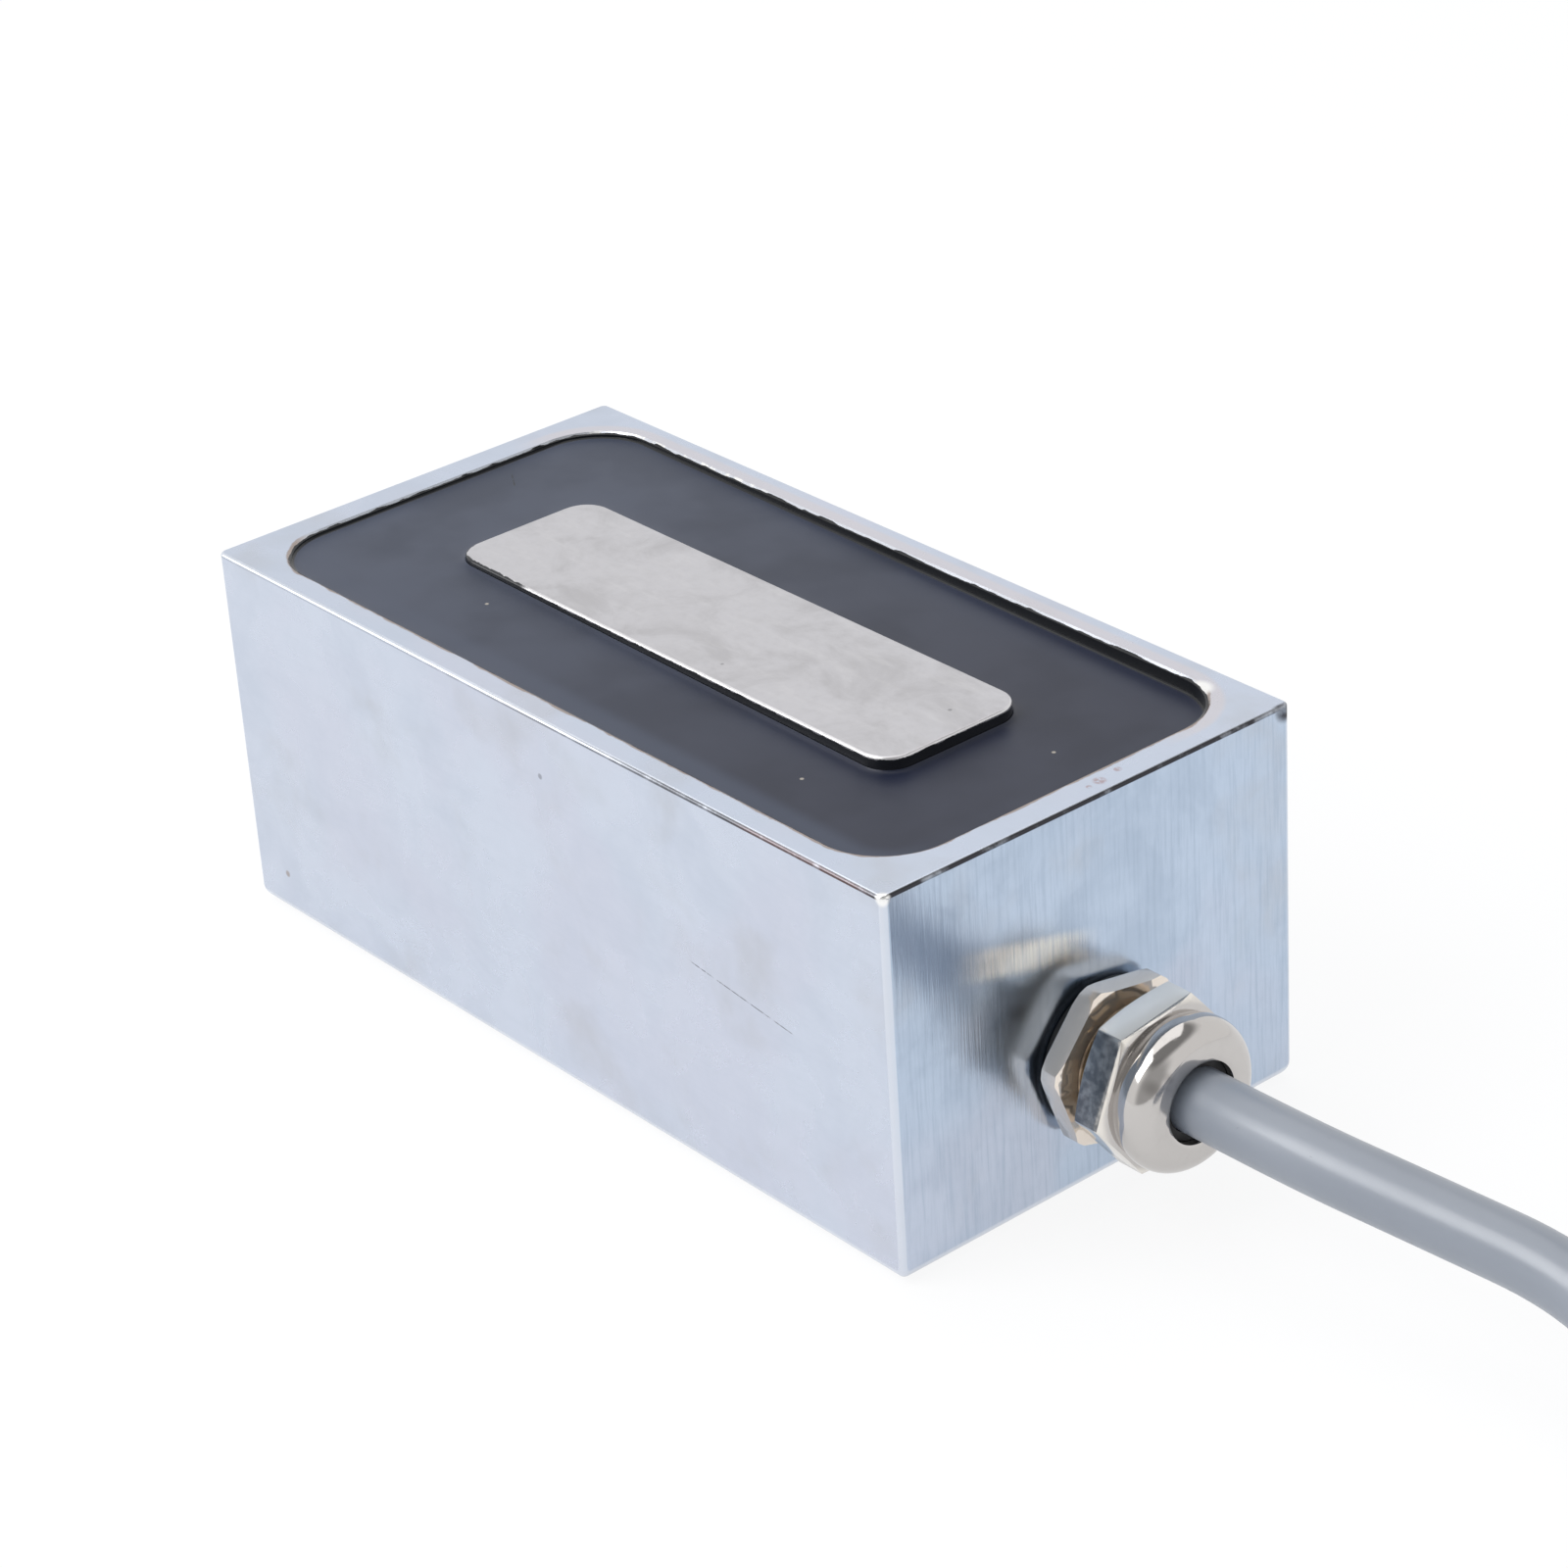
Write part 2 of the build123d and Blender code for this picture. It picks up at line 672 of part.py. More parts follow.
pieces = {
    "housing": housing,
    "core": core,
    "core_screws": core_screws,
    "bobbin": bobbin,
    "winding": winding,
    "winding_tape": winding_tape,
    "potting": potting,
    "gland_body": gland_body,
    "gland_seal_ring": gland_seal_ring,
    "gland_locknut": gland_locknut,
    "gland_nut": gland_nut,
    "gland_cage": gland_cage,
    "gland_sleeve": gland_sleeve,
    "cable_lead": cable_lead,
    "cable_coil": cable_coil,
    "cable_tie": cable_tie,
}
pieces.update({f"tail_{name}": piece for name, piece in tails.items()})
pieces.update({f"ferrule_{name}": piece for name, piece in ferrules.items()})
pieces.update({f"core_wire_{name}": piece for name, piece in core_wires.items()})
pieces.update({f"coil_end_{name}": piece for name, piece in coil_ends.items()})
pieces.update({f"splice_{name}": piece for name, piece in splices.items()})
pieces.update({f"splice_sleeve_{name}": piece for name, piece in splice_sleeves.items()})

for name, piece in pieces.items():
    piece.part.label = name
    export_step(piece.part, f"parts/{name}.step")
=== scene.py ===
"""Looks of a rectangular holding electromagnet: plated block, cast resin, pole bar, cable gland and coiled lead."""

from __future__ import annotations

import logging
import math
from dataclasses import dataclass, field
from enum import Enum
from typing import Any, Callable, Sequence

import bpy
from mathutils import Matrix, Vector

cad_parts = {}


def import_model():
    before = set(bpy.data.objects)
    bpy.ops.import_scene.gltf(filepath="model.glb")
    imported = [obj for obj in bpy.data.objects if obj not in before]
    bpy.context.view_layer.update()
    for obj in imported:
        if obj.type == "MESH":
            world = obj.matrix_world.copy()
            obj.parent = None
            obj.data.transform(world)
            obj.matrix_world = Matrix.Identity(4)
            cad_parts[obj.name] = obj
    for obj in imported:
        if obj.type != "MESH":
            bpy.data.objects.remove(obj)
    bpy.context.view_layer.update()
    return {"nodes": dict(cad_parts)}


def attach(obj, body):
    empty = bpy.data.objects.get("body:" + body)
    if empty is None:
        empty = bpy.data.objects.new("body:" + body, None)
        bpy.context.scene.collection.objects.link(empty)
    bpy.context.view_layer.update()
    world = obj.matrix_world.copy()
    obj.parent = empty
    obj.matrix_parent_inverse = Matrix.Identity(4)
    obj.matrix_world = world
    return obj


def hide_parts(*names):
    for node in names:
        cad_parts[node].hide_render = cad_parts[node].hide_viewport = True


LOG = logging.getLogger("holding_magnet")
MM = 0.001

Colour = tuple[float, float, float]
Point = tuple[float, float, float]
Outline = tuple[float, float, float]
Socket = bpy.types.NodeSocket

# Length, width and corner radius of the pocket and of the pole bar, and the gland's height, in millimetres
POCKET: Outline = (111.6, 52.0, 8.5)
POLE: Outline = (77.5, 20.4, 3.6)
GLAND_HEIGHT = 16.5


class Slot(Enum):
    """The record's material slots."""

    ZINC = "zinc_plated_steel"
    POLE = "pole_steel"
    SCREW = "screw_steel"
    FORMER = "former_nylon"
    COPPER = "enamelled_copper"
    TAPE = "insulating_tape"
    RESIN = "casting_resin"
    NICKEL = "nickel_plated_brass"
    RUBBER = "black_rubber"
    CAGE = "cage_nylon"
    JACKET = "grey_cable_jacket"
    STRAP = "strap_nylon"
    BROWN = "brown_insulation"
    BLUE = "blue_insulation"
    TINNED = "tinned_copper"
    SHRINK = "shrink_tube"


def deselect() -> None:
    """Leave edit mode and deselect every object."""
    if bpy.context.object is not None and bpy.context.object.mode != "OBJECT":
        bpy.ops.object.mode_set(mode="OBJECT")
    bpy.ops.object.select_all(action="DESELECT")


def activate(obj: bpy.types.Object) -> None:
    """Select one object alone and make it the active one.

    Args:
        obj: the object to work on.
    """
    deselect()
    obj.select_set(True)
    bpy.context.view_layer.objects.active = obj


def feed(tree: bpy.types.NodeTree, socket: Socket, value: Any) -> None:
    """Set a socket to a number or colour, or link it.

    Args:
        tree: the node tree.
        socket: the input.
        value: a socket, a number, or a colour of three numbers.
    """
    if isinstance(value, bpy.types.NodeSocket):
        tree.links.new(value, socket)
    elif isinstance(value, (tuple, list)) and socket.type == "RGBA":
        socket.default_value = (*value[:3], 1.0)
    else:
        socket.default_value = value


def add_node(tree: bpy.types.NodeTree, kind: str, *inputs: Any, operation: str | None = None) -> bpy.types.Node:
    """Add a node and fill its first inputs in order.

    Args:
        tree: the node tree.
        kind: Blender's name of the node, without ShaderNode.
        *inputs: a value for each of its first inputs.
        operation: Blender's name of what it does, where it has several.

    Returns:
        The node.
    """
    node = tree.nodes.new("ShaderNode" + kind)
    if operation is not None:
        node.operation = operation
    for socket, value in zip(node.inputs, inputs):
        feed(tree, socket, value)
    return node


def smooth_range(tree: bpy.types.NodeTree, value: Any, limits: Sequence[float]) -> Socket:
    """A value spread softly from one range to another, and held there.

    Args:
        tree: the node tree.
        value: the socket to spread.
        limits: the range it has and the range it gets, low and high.

    Returns:
        The result's socket.
    """
    node = add_node(tree, "MapRange", value, *limits)
    node.interpolation_type = "SMOOTHSTEP"
    return node.outputs["Result"]


class Graph:
    """The node graph of one material, built by short calls."""

    def __init__(self, name: str) -> None:
        """Start a material with a Principled shader.

        Args:
            name: the material's name.
        """
        self.material = bpy.data.materials.new(name)
        self.material.use_nodes = True
        self.tree = self.material.node_tree
        self.tree.nodes.clear()
        self.shader = add_node(self.tree, "BsdfPrincipled")
        add_node(self.tree, "OutputMaterial", self.shader.outputs["BSDF"])
        self.place = add_node(self.tree, "TexCoord")

    def set(self, **values: Any) -> None:
        """Set inputs of the shader by name, with underscores for spaces.

        Args:
            **values: the input's name and its value.
        """
        for name, value in values.items():
            feed(self.tree, self.shader.inputs[name.replace("_", " ")], value)

    def coordinates(self, stretch: Point = (1.0, 1.0, 1.0), turn: Point = (0.0, 0.0, 0.0)) -> Socket:
        """The object's coordinates, stretched and turned.

        Args:
            stretch: the factor along each axis.
            turn: the turn about each axis, in degrees.

        Returns:
            The vector's socket.
        """
        mapping = add_node(self.tree, "Mapping", self.place.outputs["Object"])
        mapping.inputs["Scale"].default_value = stretch
        mapping.inputs["Rotation"].default_value = tuple(math.radians(a) for a in turn)
        return mapping.outputs["Vector"]

    def noise(
        self,
        grain_mm: float,
        detail: float = 3.0,
        roughness: float = 0.5,
        distortion: float = 0.0,
        stretch: Point = (1.0, 1.0, 1.0),
        turn: Point = (0.0, 0.0, 0.0),
    ) -> Socket:
        """Soft noise from 0 to 1.

        Args:
            grain_mm: the rough size of its patches, in millimetres.
            detail: how many finer layers it has.
            roughness: how strong the finer layers are.
            distortion: how far it is stirred.
            stretch: the factor along each axis, under 1 for streaks.
            turn: the turn about each axis, in degrees.

        Returns:
            The value's socket.
        """
        node = add_node(self.tree, "TexNoise", self.coordinates(stretch, turn))
        node.inputs["Scale"].default_value = 1.0 / (grain_mm * MM)
        node.inputs["Detail"].default_value = detail
        node.inputs["Roughness"].default_value = roughness
        node.inputs["Distortion"].default_value = distortion
        return node.outputs["Fac"]

    def cells(self, grain_mm: float) -> Socket:
        """Distance to scattered points, from 0 at each point.

        Args:
            grain_mm: the rough distance between points, in millimetres.

        Returns:
            The value's socket.
        """
        node = add_node(self.tree, "TexVoronoi", self.coordinates())
        node.inputs["Scale"].default_value = 1.0 / (grain_mm * MM)
        return node.outputs["Distance"]

    def axis(self, letter: str, source: str = "Object") -> Socket:
        """One part of the place or of the normal.

        Args:
            letter: X, Y or Z.
            source: Object or Normal.

        Returns:
            The value's socket.
        """
        return add_node(self.tree, "SeparateXYZ", self.place.outputs[source]).outputs[letter]

    def math(self, operation: str, first: Any, second: Any = 0.0) -> Socket:
        """Arithmetic on two values.

        Args:
            operation: Blender's name of the operation.
            first: a socket or a number.
            second: a socket or a number.

        Returns:
            The result's socket.
        """
        return join_values(self.tree, operation, first, second)

    def plus(self, first: Any, second: Any) -> Socket:
        """The sum of two values."""
        return self.math("ADD", first, second)

    def less(self, first: Any, second: Any) -> Socket:
        """The first value less the second."""
        return self.math("SUBTRACT", first, second)

    def times(self, first: Any, second: Any) -> Socket:
        """The product of two values."""
        return self.math("MULTIPLY", first, second)

    def most(self, first: Any, second: Any) -> Socket:
        """The larger of two values."""
        return self.math("MAXIMUM", first, second)

    def far(self, letter: str, source: str = "Object") -> Socket:
        """One part of the place or of the normal, without its sign."""
        return self.math("ABSOLUTE", self.axis(letter, source))

    def span(self, value: Any, low: float, high: float, out_low: float = 0.0, out_high: float = 1.0) -> Socket:
        """A value spread from one range to another, and held there.

        Args:
            value: the socket to spread.
            low: the value that gives out_low.
            high: the value that gives out_high.
            out_low: the result at low.
            out_high: the result at high.

        Returns:
            The result's socket.
        """
        return smooth_range(self.tree, value, (low, high, out_low, out_high))

    def mix(self, factor: Any, first: Any, second: Any, share: float | None = None) -> Socket:
        """Two colours joined by a factor.

        Args:
            factor: a socket or a number from 0 to 1.
            first: the colour at 0.
            second: the colour at 1.
            share: how much of the factor counts.

        Returns:
            The colour's socket.
        """
        node = self.tree.nodes.new("ShaderNodeMix")
        node.data_type = "RGBA"
        feed(self.tree, node.inputs["Factor"], factor if share is None else self.times(factor, share))
        feed(self.tree, node.inputs[6], first)
        feed(self.tree, node.inputs[7], second)
        return node.outputs[2]

    def border(self, size: Outline) -> Socket:
        """Distance to a rounded rectangle around the block's middle, negative inside it.

        Args:
            size: its length, width and corner radius, in millimetres.

        Returns:
            The distance's socket, in millimetres.
        """
        length, width, corner = size
        sides = []
        for letter, side in (("X", length), ("Y", width)):
            reach = (side / 2 - corner) * MM
            sides.append(self.less(self.far(letter), reach))
        squares = []
        for side in sides:
            outside = self.most(side, 0.0)
            squares.append(self.times(outside, outside))
        far = self.math("SQRT", self.plus(*squares))
        near = self.math("MINIMUM", self.most(*sides), 0.0)
        distance = self.less(self.plus(far, near), corner * MM)
        return self.times(distance, 1.0 / MM)

    def band(self, value: Socket, low: float, high: float, soft: float) -> Socket:
        """1 between two values, falling softly to 0 outside them.

        Args:
            value: the socket to test.
            low: the lower value.
            high: the higher value.
            soft: how far the fall reaches.

        Returns:
            The amount's socket.
        """
        rise = self.span(value, low - soft, low)
        fall = self.span(value, high + soft, high)
        return self.times(rise, fall)

    def spot(self, place: Point, radius_mm: float) -> Socket:
        """A small round mark.

        Args:
            place: its middle, in millimetres.
            radius_mm: its radius, in millimetres.

        Returns:
            The amount's socket, 1 in the middle.
        """
        middle = tuple(part * MM for part in place)
        away = add_node(self.tree, "VectorMath", self.place.outputs["Object"], middle, operation="DISTANCE")
        return self.span(away.outputs["Value"], radius_mm * MM, radius_mm * 0.5 * MM)

    def stroke(self, start: Point, end: Point, width_mm: float) -> Socket:
        """A fine straight scratch between two points, broken here and there.

        Args:
            start: its first point, in millimetres.
            end: its last point, in millimetres.
            width_mm: its half width, in millimetres.

        Returns:
            The amount's socket.
        """
        first, last = (Vector(point) * MM for point in (start, end))
        along = (last - first).normalized()
        place = self.place.outputs["Object"]
        offset = add_node(self.tree, "VectorMath", place, first, operation="SUBTRACT").outputs["Vector"]
        travel = add_node(self.tree, "VectorMath", offset, along, operation="DOT_PRODUCT")
        across = add_node(self.tree, "VectorMath", offset, along, operation="CROSS_PRODUCT").outputs["Vector"]
        away = add_node(self.tree, "VectorMath", across, operation="LENGTH")
        near = self.span(away.outputs["Value"], width_mm * MM, width_mm * 0.3 * MM)
        reach = self.band(travel.outputs["Value"], 0.0, (last - first).length, 0.8 * MM)
        broken = self.span(self.noise(1.1, 3, 0.6), 0.36, 0.56)
        return self.times(near, self.times(reach, broken))

    def around_gland(self) -> Socket:
        """Distance from the gland's axis.

        Returns:
            The distance's socket, in millimetres.
        """
        rise = self.less(self.axis("Z"), GLAND_HEIGHT * MM)
        side = self.axis("Y")
        square = self.plus(self.times(rise, rise), self.times(side, side))
        return self.times(self.math("SQRT", square), 1.0 / MM)

    def roundness(self) -> Socket:
        """1 on rounded edges and corners, 0 on faces square to an axis.

        Returns:
            The amount's socket.
        """
        x, y, z = (self.far(letter, "Normal") for letter in "XYZ")
        largest = self.most(self.most(x, y), z)
        return self.span(largest, 0.992, 0.95)

    def bump(self, height: Socket, depth_mm: float, under: Socket | None = None, strength: float = 1.0) -> Socket:
        """A bumped normal.

        Args:
            height: the height's socket, from 0 to 1.
            depth_mm: how high 1 stands, in millimetres.
            under: a normal to add to.
            strength: how much of it shows.

        Returns:
            The normal's socket.
        """
        node = self.tree.nodes.new("ShaderNodeBump")
        node.inputs["Strength"].default_value = strength
        node.inputs["Distance"].default_value = depth_mm * MM
        self.tree.links.new(height, node.inputs["Height"])
        if under is not None:
            self.tree.links.new(under, node.inputs["Normal"])
        return node.outputs["Normal"]


def join_shaders(tree: bpy.types.NodeTree, factor: Socket, first: Socket, second: Socket) -> Socket:
    """Two shaders joined by a factor.

    Args:
        tree: the node tree.
        factor: a socket from 0 to 1.
        first: the shader at 0.
        second: the shader at 1.

    Returns:
        The shader's socket.
    """
    return add_node(tree, "MixShader", factor, first, second).outputs["Shader"]


def join_values(tree: bpy.types.NodeTree, operation: str, first: Any, second: Any) -> Socket:
    """Arithmetic on two values.

    Args:
        tree: the node tree.
        operation: Blender's name of the operation.
        first: a socket or a number.
        second: a socket or a number.

    Returns:
        The result's socket.
    """
    return add_node(tree, "Math", first, second, operation=operation).outputs["Value"]


@dataclass(frozen=True)
class ZincFinish:
    """Bright zinc plating on milled steel: bluish, cloudy, with grinding grain on the end faces, and with painted
    shade, painted reflections and painted highlights in its colour.
    """

    name: str = "zinc_plating"
    side: Colour = (0.606, 0.652, 0.746)
    side_cloud: Colour = (0.500, 0.550, 0.640)
    # End face colours: partly the ground finish, partly painted shade.
    end: Colour = (0.515, 0.605, 0.735)
    end_cloud: Colour = (0.350, 0.430, 0.545)
    rim: Colour = (0.560, 0.615, 0.725)
    lavender: Colour = (0.600, 0.615, 0.710)
    stain: Colour = (0.455, 0.460, 0.475)
    # Lighter edge colour: smoother plating and a painted edge highlight.
    edge: Colour = (0.700, 0.735, 0.800)
    resin_stain: Colour = (0.300, 0.220, 0.170)
    rust: Colour = (0.330, 0.150, 0.120)
    dirt: Colour = (0.060, 0.060, 0.065)
    # Colour of the painted dark reflections along the top edges.
    line: Colour = (0.026, 0.024, 0.028)
    glint: Colour = (0.930, 0.925, 0.910)
    gleam: Colour = (0.960, 0.930, 0.875)
    wear_and_line_breaks: Colour = (0.640, 0.600, 0.620)
    # Painted shade at the foot of the gland's end face.
    foot: Colour = (0.200, 0.220, 0.270)
    pocket: Outline = POCKET
    rim_level: float = 47.3
    speck_place: Point = (-53.4, -29.5, 5.85)
    scratch_ends: tuple[Point, Point] = ((27.5, -29.5, 26.5), (43.5, -29.5, 24.6))
    rust_spots: tuple[tuple[Point, float], ...] = (
        ((57.9, 2.9, 47.5), 0.95),
        ((57.45, 6.0, 47.5), 0.6),
        ((58.1, 1.2, 47.5), 0.45),
    )

    def material(self) -> bpy.types.Material:
        """Build the material and return it."""
        g = Graph(self.name)
        cloud = g.span(g.noise(13, 5, 0.60, 0.4), 0.40, 0.68)
        fine = g.span(g.noise(2.6, 5, 0.65), 0.35, 0.75)
        # The end faces take a darker, bluer colour than the long faces: partly their ground finish, partly painted
        # shade.
        facing_end = g.span(g.far("X", "Normal"), 0.6, 0.95)
        facing_up = g.span(g.far("Z", "Normal"), 0.6, 0.95)
        base = g.mix(facing_end, g.mix(facing_up, self.side, self.rim), self.end)
        dark = g.mix(facing_end, self.side_cloud, self.end_cloud)
        colour = g.mix(cloud, base, dark, 0.42)
        hue = g.span(g.noise(24, 2, 0.5, 0.3), 0.45, 0.62)
        colour = g.mix(hue, colour, self.lavender, 0.45)
        colour = g.mix(fine, colour, dark, 0.14)
        stain = g.times(g.span(g.noise(11, 3, 0.55, 0.2), 0.50, 0.84), 0.40)
        colour = g.mix(stain, colour, self.stain)
        grain = g.noise(0.55, 4, 0.65, 0.0, (1.0, 1.0, 0.05))
        grain_fine = g.noise(0.20, 2, 0.5, 0.0, (1.0, 1.0, 0.03))
        streaks = g.times(facing_end, g.span(grain, 0.42, 0.72, 0.0, 0.42))
        colour = g.mix(streaks, colour, self.end_cloud)
        brushed = g.noise(0.45, 3, 0.6, 0.0, (0.05, 1.0, 1.0))
        flat = g.less(1.0, facing_end)
        colour = g.mix(g.times(flat, g.span(brushed, 0.45, 0.75, 0.0, 0.12)), colour, dark)
        # Marks and wear, with a painted shade line at the foot of the gland's end.
        colour = self.wear(g, self.marks(g, colour))
        # Rounded edges are lighter: a smoother plated edge and a painted edge highlight.
        rounded = g.roundness()
        colour = g.mix(rounded, colour, self.edge, 0.7)
        # Painted dark reflections along the top edges.
        colour = self.painted_edge_reflections(g, colour)
        colour = self.resin_line(g, colour)
        # Painted highlights: near-white chips and glints at the pocket's mouth and at a corner.
        colour = g.mix(self.chips_and_glints(g), colour, self.glint)
        colour = g.mix(self.gland_gleam(g, grain), colour, self.gleam)
        roughness = g.span(cloud, 0.0, 1.0, 0.27, 0.34)
        roughness = g.less(roughness, g.times(facing_end, 0.08))
        roughness = g.less(roughness, g.times(rounded, 0.04))
        g.set(Base_Color=colour, Metallic=1.0, Roughness=roughness)
        height = g.times(facing_end, g.plus(grain, grain_fine))
        normal = g.bump(height, 0.010)
        g.set(Normal=g.bump(g.noise(9, 2, 0.5), 0.04, normal, 0.30))
        return g.material

    def marks(self, g: Graph, colour: Socket) -> Socket:
        """Small specks, one fine scratch and a few reddish spots on the plating.

        Args:
            g: the material's graph.
            colour: the plating's colour so far.

        Returns:
            The colour with the marks.
        """
        specks = g.times(g.span(g.cells(16), 0.030, 0.018), 0.45)
        colour = g.mix(specks, colour, self.dirt)
        speck = g.spot(self.speck_place, 0.55)
        colour = g.mix(speck, colour, self.resin_stain, 0.6)
        scratch = g.stroke(*self.scratch_ends, 0.10)
        colour = g.mix(scratch, colour, self.dirt, 0.75)
        for place, radius in self.rust_spots:
            spot = g.times(g.spot(place, radius), g.span(g.noise(0.5, 4, 0.6), 0.3, 0.6))
            colour = g.mix(spot, colour, self.rust, 0.55)
        return colour

    def wear(self, g: Graph, colour: Socket) -> Socket:
        """A worn strip of the rim beside the far wall, and a painted shade line at the foot of the gland's end,
        where it meets the floor.

        Args:
            g: the material's graph.
            colour: the plating's colour so far.

        Returns:
            The colour with the wear.
        """
        beside_mouth = g.band(g.border(self.pocket), 0.3, 1.5, 0.8)
        far_rim = g.times(beside_mouth, g.span(g.axis("Y"), 12 * MM, 20 * MM, 0.0, 0.65))
        colour = g.mix(far_rim, colour, self.wear_and_line_breaks)
        # A painted shade line along the bottom of the gland's end face, where it meets the floor.
        front = g.span(g.axis("X"), 57.6 * MM, 58.2 * MM)
        low = g.times(g.axis("Z"), 1.0 / MM)
        painted_foot_shade = g.times(g.span(low, 1.0, 0.4), front)
        return g.mix(painted_foot_shade, colour, self.foot, 0.6)

    def painted_edge_reflections(self, g: Graph, colour: Socket) -> Socket:
        """Painted dark reflections along the rim's outer edges, broken up by noise, a little reddish near the
        gland's end.

        Args:
            g: the material's graph.
            colour: the plating's colour so far.

        Returns:
            The colour with the lines.
        """
        height = g.times(g.axis("Z"), 1.0 / MM)
        # Painted dark reflections: lines along the rounded top edges of the gland's end and of the near long face,
        # and a patch at the far corner of the gland's end.
        wear_and_line_breaks = g.span(g.noise(3.5, 4, 0.6), 0.28, 0.52, 0.45, 1.0)
        end_side = g.span(g.axis("X"), 59.35 * MM, 59.6 * MM)
        end_line = g.times(g.band(height, 47.08, 47.40, 0.10), end_side)
        corner = g.times(g.spot((59.8, 28.9, 47.2), 2.2), end_side)
        long_side = g.span(g.axis("Y"), -28.85 * MM, -29.1 * MM)
        towards_lead = g.span(g.axis("X"), -35 * MM, 50 * MM, 0.25, 1.0)
        long_line = g.times(g.band(height, 46.98, 47.16, 0.09), long_side)
        long_line = g.times(long_line, towards_lead)
        wide_line = g.times(g.band(height, 47.00, 47.38, 0.07), long_side)
        wide_line = g.times(wide_line, g.span(g.axis("X"), 2 * MM, 26 * MM, 0.0, 0.85))
        long_line = g.most(long_line, wide_line)
        amount = g.times(g.most(g.most(end_line, corner), long_line), wear_and_line_breaks)
        reddish = g.times(g.band(g.axis("X"), 40 * MM, 55 * MM, 5 * MM), 0.22)
        line_colour = g.mix(reddish, self.line, self.rust)
        return g.mix(amount, colour, line_colour, 0.96)

    def chips_and_glints(self, g: Graph) -> Socket:
        """Bright chips along the pocket's far edge, bare metal with a painted highlight, and painted glints at two
        corners.

        Args:
            g: the material's graph.

        Returns:
            The amount's socket.
        """
        line = g.band(g.border(self.pocket), -0.05, 0.36, 0.12)
        patches = g.span(g.noise(2.4, 3, 0.6), 0.52, 0.58)
        far_side = g.times(g.span(g.axis("Y"), 15 * MM, 18 * MM), g.span(g.axis("X"), -20 * MM, -30 * MM))
        along = g.times(g.times(line, patches), far_side)
        # Painted glints: one where the far wall's film ends near the gland's end, one on the near corner of the
        # gland's end.
        lead_end = g.times(g.spot((50.3, 25.0, 47.35), 2.2), g.span(g.border(self.pocket), -0.3, 0.0))
        corner = g.spot((59.85, -29.35, 47.2), 1.2)
        glinting = g.most(g.most(along, lead_end), corner)
        return g.times(glinting, 0.95)

    def gland_gleam(self, g: Graph, grain: Socket) -> Socket:
        """The warm light the gland throws on the end face above it, broken by the grinding grain.

        Args:
            g: the material's graph.
            grain: the grain's value.

        Returns:
            The amount's socket.
        """
        height = g.plus(g.axis("Z"), g.times(g.axis("Y"), 0.25))
        across = g.band(height, 28.9 * MM, 30.8 * MM, 1.6 * MM)
        along = g.band(g.axis("Y"), -14 * MM, -6 * MM, 7 * MM)
        front = g.span(g.axis("X"), 59.5 * MM, 59.9 * MM)
        area = g.times(g.times(across, along), front)
        return g.times(area, g.span(grain, 0.35, 0.70, 0.95, 0.40))

    def resin_line(self, g: Graph, colour: Socket) -> Socket:
        """A thin brown smear of resin along the pocket's mouth.

        Args:
            g: the material's graph.
            colour: the plating's colour so far.

        Returns:
            The colour with the line.
        """
        mouth = g.border(self.pocket)
        uneven = g.times(g.span(g.noise(5, 4, 0.6), 0.3, 0.7), 0.35)
        line = g.span(g.less(mouth, uneven), 0.42, 0.18)
        top = g.span(g.axis("Z"), (self.rim_level - 0.2) * MM, self.rim_level * MM)
        near_side = g.most(g.span(g.axis("Y"), -18 * MM, -22 * MM), g.span(g.axis("X"), 48 * MM, 52 * MM))
        amount = g.times(g.times(line, top), near_side)
        return g.mix(amount, colour, self.resin_stain, 0.8)


@dataclass(frozen=True)
class PoleFinish:
    """The pole bar's ground face: warm light grey, mottled, with a painted highlight on its rounded edges, its sides
    black with resin.
    """

    name: str = "pole_plating"
    light: Colour = (0.565, 0.558, 0.582)
    dark: Colour = (0.440, 0.432, 0.445)
    streak_and_edge_highlight: Colour = (0.70, 0.69, 0.70)
    resin: Colour = (0.010, 0.011, 0.014)
    outline: Outline = POLE

    def material(self) -> bpy.types.Material:
        """Build the material and return it."""
        g = Graph(self.name)
        patches = g.span(g.noise(9, 6, 0.62, 0.6), 0.42, 0.70)
        fine = g.span(g.noise(1.4, 5, 0.65), 0.4, 0.75)
        streaks = g.span(g.noise(1.6, 4, 0.6, 0.2, (0.22, 1.0, 1.0), (0, 0, 18)), 0.50, 0.74)
        colour = g.mix(patches, self.light, self.dark, 0.75)
        colour = g.mix(fine, colour, self.dark, 0.28)
        colour = g.mix(streaks, colour, self.streak_and_edge_highlight, 0.22)
        specks = g.times(g.span(g.cells(6), 0.05, 0.03), 0.4)
        colour = g.mix(specks, colour, self.resin)
        # Painted highlight on the rounded edges.
        colour = g.mix(g.roundness(), colour, self.streak_and_edge_highlight, 0.8)
        torn = g.span(g.noise(1.8, 4, 0.6), 0.35, 0.68)
        low = g.plus(g.axis("Z"), g.times(torn, -0.24 * MM))
        side = g.span(low, 47.10 * MM, 47.02 * MM)
        covered = g.times(g.span(g.axis("X"), -24 * MM, -26 * MM), g.span(g.axis("Y"), -5 * MM, -8 * MM))
        lapped = g.span(g.less(g.border(self.outline), g.times(torn, 0.25)), -0.46, -0.36)
        side = g.most(side, g.times(covered, lapped))
        colour = g.mix(side, colour, self.resin)
        roughness = g.less(g.span(patches, 0.0, 1.0, 0.30, 0.40), g.times(side, 0.12))
        g.set(Base_Color=colour, Metallic=g.less(1.0, side), Roughness=roughness)
        scratch = g.noise(0.5, 4, 0.6, 0.0, (0.08, 1.0, 1.0), (0, 0, 62))
        g.set(Normal=g.bump(g.noise(2.2, 3, 0.5), 0.02, g.bump(scratch, 0.005), 0.5))
        return g.material


